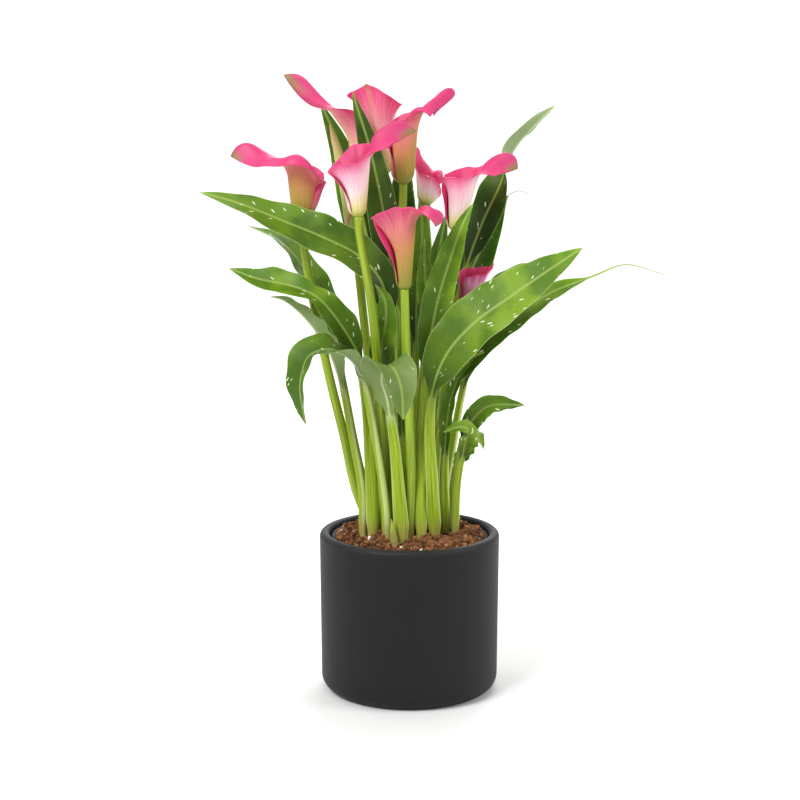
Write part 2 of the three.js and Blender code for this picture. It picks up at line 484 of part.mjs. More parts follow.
// Cover pot: thrown straight, rounded at the base and over the rim, with a flat underside.
const potInside = POT_RADIUS - POT_WALL;
const potBase = POT_RADIUS - POT_DRAFT;
const lip = POT_WALL / 2;
const potProfile = [
  [0, 0],
  ...arc(potBase - POT_BASE_ROUND, POT_BASE_ROUND, POT_BASE_ROUND, -90, 0, 4),
  ...arc(POT_RADIUS - lip, POT_HEIGHT - lip, lip, 0, 180, 6),
  ...arc(potInside - POT_CORNER_ROUND, POT_FLOOR + POT_CORNER_ROUND, POT_CORNER_ROUND, 0, -90, 3),
  [0, POT_FLOOR],
];
add(model, 'cover_pot', turned(potProfile, POT_SIDES), CHARCOAL);

// Grower's pot: thin black plastic, tapered, with a rolled rim and drain holes in its floor.
const linerTop = POT_HEIGHT - LINER_RIM_DROP;
const linerBottom = POT_FLOOR + GAP;
const rimOutside = potInside - LINER_CLEARANCE;
const rimInside = rimOutside - LINER_RIM_WIDTH;
const neckOutside = rimInside + LINER_WALL;
const floorOutside = neckOutside - LINER_TAPER;
const linerProfile = [
  [0, linerBottom],
  [floorOutside, linerBottom],
  [neckOutside, linerTop - LINER_RIM_HEIGHT],
  [rimOutside, linerTop - LINER_RIM_HEIGHT],
  [rimOutside, linerTop - 1],
  [(rimOutside + rimInside) / 2, linerTop],
  [rimInside, linerTop - 1],
  [neckOutside - LINER_WALL, linerTop - LINER_RIM_HEIGHT],
  [floorOutside - LINER_WALL, linerBottom + LINER_WALL],
  [0, linerBottom + LINER_WALL],
];
let liner = toSolid(turned(linerProfile, POT_SIDES));
for (let i = 0; i < DRAIN_HOLES; i += 1) {
  const turn = (2 * Math.PI * i) / DRAIN_HOLES;
  const drill = new THREE.CylinderGeometry(DRAIN_RADIUS, DRAIN_RADIUS, LINER_WALL * 4, 10);
  drill.rotateX(Math.PI / 2);
  drill.translate(DRAIN_CIRCLE * Math.cos(turn), DRAIN_CIRCLE * Math.sin(turn), linerBottom);
  liner = liner.subtract(toSolid(drill));
}
add(model, 'grower_pot', toGeometry(liner), BLACK_PLASTIC);

// Potting soil: fills the grower's pot, mounded in the middle, with a socket for every stalk.
const soilLine = POT_HEIGHT - SOIL_DROP;
const soilRim = rimInside - GAP;
const soilNeck = neckOutside - LINER_WALL - GAP;
const soilFloor = floorOutside - LINER_WALL - GAP;
const soilBottom = linerBottom + LINER_WALL + GAP - soilLine;
const neckDepth = linerTop - LINER_RIM_HEIGHT - soilLine;
const mound = [0.6, 0].map((share) => [soilRim * share, SOIL_MOUND * (1 - share * share)]);
const soilProfile = [[0, soilBottom], [soilFloor, soilBottom], [soilNeck, neckDepth], [soilRim, 0], ...mound];
let soil = toSolid(turned(soilProfile, POT_SIDES));

function rootInSoil(curve, footRadius, endRadius, endArc, faces) {
  soil = soil.subtract(socketSolid(curve, footRadius, endRadius, endArc, faces));
}

for (const leaf of LEAVES) {
  const curve = spineOf(leaf.foot, leaf.path);
  rootInSoil(curve, leaf.stalk[0], leaf.stalk[1], leaf.bladeFrom * curve.getLength(), leaf.faces);
  add(plant, leaf.name, leafGeometry(leaf), LEAF);
}

for (const flower of [...FLOWERS, BUD_FLOWER]) {
  const curve = stemSpine(flower);
  rootInSoil(curve, STEM_FOOT_RADIUS, STEM_RADIUS, curve.getLength() - GAP, FRONT_FACES);
  add(plant, `flower_stem_${flower.name}`, stemGeometry(flower, GAP), STALK);
}

for (const flower of FLOWERS) {
  const base = new THREE.Vector3(...flower.path[flower.path.length - 1]);
  const axes = flowerAxes(flower);
  const spathe = add(plant, `spathe_${flower.name}`, spatheGeometry(flower), SPATHE);
  const spadix = add(plant, `spadix_${flower.name}`, spadixGeometry(flower.spadix), SPADIX);
  const rise = new THREE.Vector3(0, 0, spatheFloor(flower) + GAP).applyMatrix4(axes);
  spathe.quaternion.setFromRotationMatrix(axes);
  spathe.position.copy(base);
  spadix.quaternion.copy(spathe.quaternion);
  spadix.position.copy(base).add(rise);
}
add(plant, 'spathe_10', budGeometry(BUD_FLOWER), BUD);

const shootCurve = spineOf(SHOOT.foot, SHOOT.path);
const shootRings = [[0, 1], [STRAIGHT_FOOT, 1], [STRAIGHT_FOOT + 8, 0.75], [shootCurve.getLength(), 0.15]].map(
  ([along, share]) => ringAt(axesAt(shootCurve, along / shootCurve.getLength(), FRONT_FACES), roundSection(SHOOT.radius * share)),
);
rootInSoil(shootCurve, SHOOT.radius, SHOOT.radius, STRAIGHT_FOOT, FRONT_FACES);
add(plant, SHOOT.name, tubeOfRings(shootRings), STALK);
add(plant, 'potting_soil', toGeometry(soil), SOIL);

plant.position.z = soilLine;
plant.scale.setScalar(PLANT_GROWTH);
model.add(plant);

export default model;
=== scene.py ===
import bpy
import numpy as np
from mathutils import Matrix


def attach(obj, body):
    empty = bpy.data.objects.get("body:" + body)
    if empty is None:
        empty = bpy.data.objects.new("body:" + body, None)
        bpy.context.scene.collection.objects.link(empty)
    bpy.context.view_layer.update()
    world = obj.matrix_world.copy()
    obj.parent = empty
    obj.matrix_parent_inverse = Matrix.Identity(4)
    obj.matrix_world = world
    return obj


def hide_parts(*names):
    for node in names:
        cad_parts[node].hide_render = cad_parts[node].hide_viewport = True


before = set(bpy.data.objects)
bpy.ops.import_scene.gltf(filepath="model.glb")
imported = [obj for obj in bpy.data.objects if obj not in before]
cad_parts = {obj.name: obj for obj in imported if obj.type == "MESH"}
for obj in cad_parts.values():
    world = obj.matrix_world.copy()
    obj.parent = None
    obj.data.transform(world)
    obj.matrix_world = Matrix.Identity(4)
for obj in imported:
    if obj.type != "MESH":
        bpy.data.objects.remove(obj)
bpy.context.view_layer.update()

# ---- Camera ---------------------------------------------------------------------------------------
# A long lens at eye height for someone seated, a metre and a half in front of the pot and tilted a
# little down.
camera_data = bpy.data.cameras.new("camera")
camera_data.sensor_width = 36.0
camera_data.lens = 86.1
camera = bpy.data.objects.new("camera", camera_data)
camera.location = (-0.0074, -1.455, 0.4805)
camera.rotation_euler = (np.radians(80.19), 0.0, 0.0)
bpy.context.scene.collection.objects.link(camera)
bpy.context.scene.camera = camera

# ---- Cover pot --------------------------------------------------------------------------------------
# The cover pot is cast in stoneware with straight sides, a rounded foot and a round lip, and dipped
# in a matt charcoal glaze; over the lip it is painted a little paler, a painted highlight. It stands on its
# flat underside.


def grid_faces(rows, columns, around):
    """Four-cornered faces between neighbouring points of a grid whose points are numbered row by row;
    with around, the last column also joins the first."""
    number = np.arange(rows * columns).reshape(rows, columns)
    if around:
        number = np.concatenate([number, number[:, :1]], axis=1)
    corners = number[:-1, :-1], number[:-1, 1:], number[1:, 1:], number[1:, :-1]
    return np.stack(corners, axis=-1).reshape(-1, 4)


def fill_mesh(name, points, faces, finish, slot, stands_for=(), smooth=True, **values):
    """A piece from its points (n, 3) and its three- or four-cornered faces, with one vector per point
    for each named value, its finish, and its place on the frame."""
    mesh = bpy.data.meshes.new(name)
    mesh.vertices.add(len(points))
    mesh.vertices.foreach_set("co", np.asarray(points, np.float32).ravel())
    sizes = np.concatenate([np.full(len(group), group.shape[1]) for group in faces])
    corners = np.concatenate([group.ravel() for group in faces])
    mesh.loops.add(len(corners))
    mesh.loops.foreach_set("vertex_index", corners.astype(np.int32))
    mesh.polygons.add(len(sizes))
    starts = np.concatenate([[0], np.cumsum(sizes)[:-1]])
    mesh.polygons.foreach_set("loop_start", starts.astype(np.int32))
    mesh.polygons.foreach_set("use_smooth", np.full(len(sizes), smooth))
    for label, value in values.items():
        layer = mesh.attributes.new(label, "FLOAT_VECTOR", "POINT")
        layer.data.foreach_set("vector", np.asarray(value, np.float32).ravel())
    mesh.update(calc_edges=True)
    mesh.validate()
    mesh.materials.append(finish)
    piece = bpy.data.objects.new(name, mesh)
    bpy.context.scene.collection.objects.link(piece)
    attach(piece, "root")
    if stands_for:
        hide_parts(*stands_for)


def capped_tube(rings):
    """Points and faces of a tube from its rings (rows, steps, 3), closed by a fan at each end."""
    rows, steps = rings.shape[:2]
    points = np.vstack([rings.reshape(-1, 3), rings[[0, -1]].mean(axis=1)])
    step = np.arange(steps)
    following = (step + 1) % steps
    end = (rows - 1) * steps
    low = np.stack([np.full(steps, rows * steps), following, step], axis=-1)
    top = np.stack([np.full(steps, rows * steps + 1), end + step, end + following], axis=-1)
    return points, [grid_faces(rows, steps, True), low, top]


def turn_profile(profile, turn):
    """Rings turned about the Z axis: each [radius, height] pair of the profile is carried round it, the
    radius times the cosine and the sine of each angle of the turn."""
    radius, height = np.array(profile).T[..., None]
    return np.stack(np.broadcast_arrays(radius * np.cos(turn), radius * np.sin(turn), height), axis=-1)


def bend(middle, size, start, end, steps):
    """Points of a round, as [radius, height] pairs about a middle, from one angle to another."""
    angle = np.radians(np.linspace(start, end, steps + 1))
    return [(middle[0] + size * np.cos(a), middle[1] + size * np.sin(a)) for a in angle]


def straight(start, end, steps):
    """Points that part a straight line into equal steps, without its two ends."""
    share = np.linspace(0, 1, steps + 1)[1:-1, None]
    return np.array(start) + (np.array(end) - np.array(start)) * share


def feed(tree, socket, value):
    """Links a socket to another node's output, or sets its own value."""
    if isinstance(value, bpy.types.NodeSocket):
        tree.links.new(value, socket)
    else:
        socket.default_value = value


def add_node(tree, kind, settings=None, **inputs):
    """A shader node with its settings, and its inputs as values or as other nodes' outputs."""
    made = tree.nodes.new("ShaderNode" + kind)
    for key, value in (settings or {}).items():
        setattr(made, key, value)
    for key, value in inputs.items():
        feed(tree, made.inputs[key.replace("_", " ")], value)
    return made


def calc(tree, operation, *values):
    """One step of arithmetic on one to three numbers."""
    made = add_node(tree, "Math", {"operation": operation})
    for socket, value in zip(made.inputs, values):
        feed(tree, socket, value)
    return made.outputs[0]


def times(tree, first, second):
    """The product of two numbers."""
    return calc(tree, "MULTIPLY", first, second)


def blend(tree, share, first, second, strength=None):
    """The first colour where share is 0, the second where it is 1. A strength scales the share."""
    if strength is not None:
        share = times(tree, share, strength)
    made = add_node(tree, "Mix", {"data_type": "RGBA"})
    for number, value in ((0, share), (6, first), (7, second)):
        feed(tree, made.inputs[number], (*value, 1.0) if isinstance(value, tuple) else value)
    return made.outputs[2]


def ease(tree, value, start, end):
    """0 before start, 1 after end, and a soft change between them."""
    smooth = {"interpolation_type": "SMOOTHSTEP"}
    return add_node(tree, "MapRange", smooth, Value=value, From_Min=start, From_Max=end).outputs["Result"]


def noise(tree, place, scale, detail=2.0, **inputs):
    """Soft random shading, about 0.5 on average."""
    return add_node(tree, "TexNoise", Vector=place, Scale=scale, Detail=detail, **inputs).outputs["Fac"]


def object_place(tree):
    """The place of a point of the surface, in metres."""
    return add_node(tree, "TexCoord").outputs["Object"]


def new_finish(name, **shader_values):
    """An empty material and its main shader, with the values that are the same all over set on it."""
    finish = bpy.data.materials.new(name)
    finish.use_nodes = True
    shader = finish.node_tree.nodes["Principled BSDF"]
    for key, value in shader_values.items():
        shader.inputs[key.replace("_", " ")].default_value = value
    return finish, finish.node_tree, shader


def join(shader, socket, output):
    """Links an output to the main shader's named socket."""
    shader.id_data.links.new(output, shader.inputs[socket])


def emboss(shader, height, strength, distance):
    """Fine relief on the surface."""
    bump = add_node(shader.id_data, "Bump", Height=height, Strength=strength, Distance=distance)
    join(shader, "Normal", bump.outputs["Normal"])


POT_RADIUS = 0.070
POT_BASE_RADIUS = 0.069
POT_HEIGHT = 0.126
POT_WALL = 0.008
POT_FLOOR = 0.008
POT_BASE_ROUND = 0.012
POT_CORNER = 0.006

glaze, tree, shader = new_finish("charcoal_glaze", Specular_IOR_Level=0.18)
place = object_place(tree)
cloud = noise(tree, place, 14.0, 3.0)
height = add_node(tree, "SeparateXYZ", Vector=place).outputs["Z"]
# Painted highlight: the glaze is blended a little paler over the top of the round lip, where it catches the
# light.
lip_highlight = ease(tree, height, POT_HEIGHT - 0.006, POT_HEIGHT)
body = blend(tree, cloud, (0.0095, 0.0097, 0.0105), (0.0140, 0.0142, 0.0150))
join(shader, "Base Color", blend(tree, lip_highlight, body, (0.035, 0.035, 0.036), 0.4))
join(shader, "Roughness", calc(tree, "MULTIPLY_ADD", cloud, 0.16, 0.46))
emboss(shader, noise(tree, place, 900.0), 0.06, 0.0004)

lip = POT_WALL / 2
lip_line = POT_HEIGHT - lip
inside = POT_RADIUS - POT_WALL
corner_line = POT_FLOOR + POT_CORNER
pot_profile = [
    (0.02, 0.0),
    (0.045, 0.0),
    *bend((POT_BASE_RADIUS - POT_BASE_ROUND, POT_BASE_ROUND), POT_BASE_ROUND, -90, 0, 20),
    *straight((POT_BASE_RADIUS, POT_BASE_ROUND), (POT_RADIUS, lip_line), 12),
    *bend((POT_RADIUS - lip, lip_line), lip, 0, 180, 24),
    *straight((inside, lip_line), (inside, corner_line), 8),
    *bend((inside - POT_CORNER, corner_line), POT_CORNER, 0, -90, 10),
    (0.03, POT_FLOOR),
]
points, faces = capped_tube(turn_profile(pot_profile, np.linspace(0, 2 * np.pi, 160, endpoint=False)))
fill_mesh("cover_pot_body", points, faces, glaze, "charcoal_ceramic", ["cover_pot"])

# ---- Floor and light --------------------------------------------------------------------------------
# A plain off-white studio floor that curves up into a wall behind the pot, under a wide soft light from
# the left and above, weaker ones from the right and the back, one on the wall, and pale surroundings.
FLOOR_FRONT = -7.0
FLOOR_HALF_WIDTH = 6.0
WALL_START = 2.0
WALL_CURVE = 1.6
WALL_HEIGHT = 6.0
paper, tree, shader = new_finish("floor_paper", Roughness=0.9, Specular_IOR_Level=0.1)
tint = noise(tree, object_place(tree), 2.0)
join(shader, "Base Color", blend(tree, tint, (0.80, 0.80, 0.79), (0.83, 0.83, 0.82)))
sweep = np.radians(np.linspace(0, 90, 24))
run = np.concatenate([[FLOOR_FRONT], WALL_START + WALL_CURVE * np.sin(sweep), [WALL_START + WALL_CURVE]])
rise = np.concatenate([[0.0], WALL_CURVE - WALL_CURVE * np.cos(sweep), [WALL_HEIGHT]])
width = np.linspace(-FLOOR_HALF_WIDTH, FLOOR_HALF_WIDTH, 7)[None]
sheet = np.stack(np.broadcast_arrays(width, run[:, None], rise[:, None]), axis=-1)
floor_mesh = bpy.data.meshes.new("floor")
floor_mesh.from_pydata(sheet.reshape(-1, 3).tolist(), [], grid_faces(len(run), 7, False)[:, ::-1].tolist())
floor_mesh.materials.append(paper)
floor_mesh.polygons.foreach_set("use_smooth", [True] * len(floor_mesh.polygons))
floor = bpy.data.objects.new("floor", floor_mesh)
bpy.context.scene.collection.objects.link(floor)

surroundings = bpy.data.worlds.new("surroundings")
surroundings.use_nodes = True
background = surroundings.node_tree.nodes["Background"]
background.inputs["Color"].default_value = (1.0, 1.0, 1.0, 1.0)
background.inputs["Strength"].default_value = 0.50
bpy.context.scene.world = surroundings
bpy.context.scene.view_settings.view_transform = "Standard"

for label, place, aim, size, power in [
    ("key_light", (-1.3, -1.5, 1.9), (0.0, 0.0, 0.28), 1.1, 54.0),
    ("right_light", (1.7, -0.5, 1.0), (0.0, 0.0, 0.25), 0.9, 16.0),
    ("back_light", (0.3, 1.6, 1.5), (0.0, 0.0, 0.35), 1.0, 16.0),
    ("backdrop_light", (0.0, 0.9, 2.6), (0.0, 3.6, 0.9), 2.5, 75.0),
]:
    lamp = bpy.data.lights.new(label, "AREA")
    lamp.size = size
    lamp.energy = power
    holder = bpy.data.objects.new(label, lamp)
    holder.location = place
    away = np.array(place) - np.array(aim)
    sideways = np.hypot(away[0], away[1])
    holder.rotation_euler = (np.arctan2(sideways, away[2]), 0.0, np.arctan2(away[0], -away[1]))
    bpy.context.scene.collection.objects.link(holder)

# ---- Grower's pot -----------------------------------------------------------------------------------
# The grower's pot is vacuum-formed in thin black plastic with a rolled rim and drain holes. It drops
# into the cover pot, and only its rim shows round the soil.
plastic, tree, shader = new_finish("black_plastic", Specular_IOR_Level=0.35)
dust = noise(tree, object_place(tree), 120.0, 4.0)
dusty = ease(tree, dust, 0.5, 0.75)
join(shader, "Base Color", blend(tree, dusty, (0.007, 0.007, 0.007), (0.035, 0.024, 0.016)))
join(shader, "Roughness", calc(tree, "MULTIPLY_ADD", dust, 0.3, 0.32))
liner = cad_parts["grower_pot"]
liner.data.materials.clear()
liner.data.materials.append(plastic)

# ---- Soil -------------------------------------------------------------------------------------------
# The potting soil is a peat and coir mix: a mounded bed that fills the grower's pot, with loose crumbs
# and coir fibres lying on it, and white grains of perlite here and there.
SOIL_LINE = 0.122
SOIL_RADIUS = 0.0581
SOIL_NECK_RADIUS = 0.0573
SOIL_NECK_DEPTH = 0.006
SOIL_FLOOR_RADIUS = 0.0521
SOIL_BOTTOM = 0.0098
SOIL_MOUND = 0.004
chance = np.random.default_rng(7)
wave_size = chance.uniform(160.0, 1500.0, 40)
wave_turn = chance.uniform(0.0, 2 * np.pi, (2, 40))


def soil_height(x, y):
    """Height of the bed above its edge: a shallow dome, and a sum of small waves of many sizes and
    directions, each lower the shorter it is, that dies out towards the rim."""
    out = np.hypot(x, y) / SOIL_RADIUS
    across = x[..., None] * np.cos(wave_turn[0]) + y[..., None] * np.sin(wave_turn[0])
    lumps = (np.sin(across * wave_size + wave_turn[1]) * 0.030 / wave_size**0.62).sum(-1)
    return SOIL_MOUND * (1 - out**2) + lumps * np.clip((1 - out) * 8, 0, 1)


def scatter(seed, count, reach):
    """Places spread evenly over the bed, with the height of the bed there."""
    draw = np.random.default_rng(seed)
    out = SOIL_RADIUS * reach * np.sqrt(draw.uniform(0, 1, count))
    turn = draw.uniform(0, 2 * np.pi, count)
    x, y = out * np.cos(turn), out * np.sin(turn)
    return np.stack([x, y, SOIL_LINE + soil_height(x, y)], axis=-1), draw


def turned_about(draw, count):
    """A turn in any direction for each of count things, as 3 by 3 tables, from random unit quaternions."""
    turn = draw.normal(size=(4, count))
    w, x, y, z = turn / np.linalg.norm(turn, axis=0)
    rows = [1 - 2 * (y * y + z * z), 2 * (x * y - z * w), 2 * (x * z + y * w),
            2 * (x * y + z * w), 1 - 2 * (x * x + z * z), 2 * (y * z - x * w),
            2 * (x * z - y * w), 2 * (y * z + x * w), 1 - 2 * (x * x + y * y)]
    return np.stack(rows, axis=-1).reshape(count, 3, 3)


def lumps_on_soil(seed, count, reach, smallest, largest, lift):
    """Twenty-sided lumps: the corners of a regular solid, each pushed in or out by chance, stretched,
    turned any way, and sunk in the bed by a quarter to a third of their height."""
    places, draw = scatter(seed, count, reach)
    golden = (1 + 5**0.5) / 2
    base = np.array([(-1, golden, 0), (1, golden, 0), (-1, -golden, 0), (1, -golden, 0),
                     (0, -1, golden), (0, 1, golden), (0, -1, -golden), (0, 1, -golden),
                     (golden, 0, -1), (golden, 0, 1), (-golden, 0, -1), (-golden, 0, 1)])
    base = base / np.hypot(1, golden)
    sides = np.array([(0, 11, 5), (0, 5, 1), (0, 1, 7), (0, 7, 10), (0, 10, 11), (1, 5, 9), (5, 11, 4),
                      (11, 10, 2), (10, 7, 6), (7, 1, 8), (3, 9, 4), (3, 4, 2), (3, 2, 6), (3, 6, 8),
                      (3, 8, 9), (4, 9, 5), (2, 4, 11), (6, 2, 10), (8, 6, 7), (9, 8, 1)])
    size = smallest + (largest - smallest) * draw.uniform(0, 1, count) ** 2.5
    stretch = draw.uniform(0.55, 1.25, (count, 1, 3)) * draw.uniform(0.75, 1.2, (count, 12, 1))
    lump = np.einsum("nij,nkj->nki", turned_about(draw, count), base * stretch) * size[:, None, None]
    points = lump + places[:, None, :] + np.array([0, 0, 1]) * (size * lift)[:, None, None]
    faces = (sides[None] + 12 * np.arange(count)[:, None, None]).reshape(-1, 3)
    shade = np.repeat(draw.uniform(0, 1, (count, 3)), 12, axis=0)
    return points.reshape(-1, 3), [faces], shade


def values_at(tree, label):
    """The three numbers that a piece holds at each of its points under a label."""
    vector = add_node(tree, "Attribute", {"attribute_name": label}).outputs["Vector"]
    return add_node(tree, "SeparateXYZ", Vector=vector).outputs


def soil_finish(name, dark, light, roughness):
    """Earth whose shade changes from crumb to crumb and within each crumb."""
    finish, tree, shader = new_finish(name, Roughness=roughness, Specular_IOR_Level=0.15)
    place = object_place(tree)
    fine = noise(tree, place, 700.0, 5.0)
    coarse = noise(tree, place, 160.0, 3.0)
    share = calc(tree, "ADD", times(tree, values_at(tree, "shade")["X"], 0.5), times(tree, coarse, 0.5))
    colour = blend(tree, ease(tree, share, 0.2, 0.85), dark, light)
    join(shader, "Base Color", blend(tree, ease(tree, fine, 0.35, 0.8), colour, light))
    emboss(shader, fine, 0.6, 0.0008)
    return finish


peat = soil_finish("peat", (0.035, 0.014, 0.006), (0.30, 0.13, 0.055), 0.95)
coir = soil_finish("coir", (0.10, 0.045, 0.018), (0.46, 0.25, 0.12), 0.85)
white_grain = soil_finish("perlite", (0.62, 0.60, 0.55), (0.90, 0.89, 0.86), 0.9)

turn = np.linspace(0, 2 * np.pi, 220, endpoint=False)
surface_out = np.linspace(1, 0.004, 90)[:, None] * SOIL_RADIUS
x, y = surface_out * np.cos(turn), surface_out * np.sin(turn)
surface = np.stack([x, y, SOIL_LINE + soil_height(x, y)], axis=-1)
side = [(0.02, SOIL_BOTTOM), (SOIL_FLOOR_RADIUS, SOIL_BOTTOM),
        (SOIL_NECK_RADIUS, SOIL_LINE - SOIL_NECK_DEPTH), (SOIL_RADIUS, SOIL_LINE - 0.003)]
points, faces = capped_tube(np.concatenate([turn_profile(side, turn), surface]))
shade = np.full((len(points), 3), 0.3)
fill_mesh("soil_bed", points, faces, peat, "soil", ["potting_soil"], shade=shade)

# Loose crumbs: seed, count, reach over the bed, smallest and largest size, and lift as a share of size.
for name, finish, *lumps in [
    ("soil_crumbs", peat, 11, 3600, 0.985, 0.0005, 0.0030, 0.35),
    ("coir_crumbs", coir, 12, 900, 0.985, 0.0005, 0.0022, 0.5),
    ("perlite_grains", white_grain, 13, 90, 0.97, 0.0006, 0.0019, 0.5),
]:
    points, faces, shade = lumps_on_soil(*lumps)
    fill_mesh(name, points, faces, finish, "soil", smooth=False, shade=shade)

# A coir fibre is a bent thread: six rings of four points along a curve that lies on the bed.
fibres = 520
places, draw = scatter(14, fibres, 0.95)
heading = draw.uniform(0, 2 * np.pi, fibres)
bow = draw.uniform(-1.2, 1.2, fibres)
share = np.linspace(-0.5, 0.5, 6)[None]
reach = draw.uniform(0.004, 0.013, fibres)[:, None] * share
thread_x = places[:, :1] + reach * np.cos(heading[:, None] + bow[:, None] * share)
thread_y = places[:, 1:2] + reach * np.sin(heading[:, None] + bow[:, None] * share)
bed_edge = 0.98 * SOIL_RADIUS
kept_in = bed_edge / np.maximum(np.hypot(thread_x, thread_y), bed_edge)
thread_x, thread_y = thread_x * kept_in, thread_y * kept_in
rise = 0.0006 + draw.uniform(0, 0.0016, fibres)[:, None] * (1 - (2 * share) ** 2)
thread = np.stack([thread_x, thread_y, SOIL_LINE + soil_height(thread_x, thread_y) + rise], axis=-1)
thick = draw.uniform(0.00010, 0.00024, fibres)[:, None, None, None] * (1.05 - np.abs(share))[:, :, None, None]
sideways = np.stack([-np.sin(heading), np.cos(heading), np.zeros(fibres)], axis=-1)[:, None]
ring = np.array([[1], [0], [-1], [0]]) * sideways + np.array([[0], [1], [0], [-1]]) * np.array([0, 0, 1])
points = (thread[:, :, None] + ring[:, None] * thick).reshape(-1, 3)
ends = np.array([(0, 1, 2, 3), (23, 22, 21, 20)])
one = np.concatenate([grid_faces(6, 4, True)[:, ::-1], ends])
faces = (one[None] + 24 * np.arange(fibres)[:, None, None]).reshape(-1, 4)
shade = np.repeat(draw.uniform(0, 1, (fibres, 3)), 24, axis=0)
fill_mesh("coir_fibres", points, [faces], coir, "soil", shade=shade)

# ---- Leaves -----------------------------------------------------------------------------------------
# Each leaf is grown as one piece: a fleshy, channelled stalk that widens into a lance-shaped blade,
# glossy green with white flecks above and matt grey-green below. It stands in the soil by its stalk.
BLADE_THICKNESS = 0.0007
STALK_ROOTED = 0.024
CHANNEL_DEPTH = 0.45
SHEATH_START = 0.005
SHEATH_RISE = 0.012
SHEATH_WIDENING = 0.32
MIDRIB_WIDTH = 0.0011
MIDRIB_SUNK = 0.0004
MIDRIB_PROUD = 0.0016
MARGIN_RIPPLE = 0.0011
FRONT = (0, -1, 0)
UP_FRONT = (0, -0.7, 0.7)
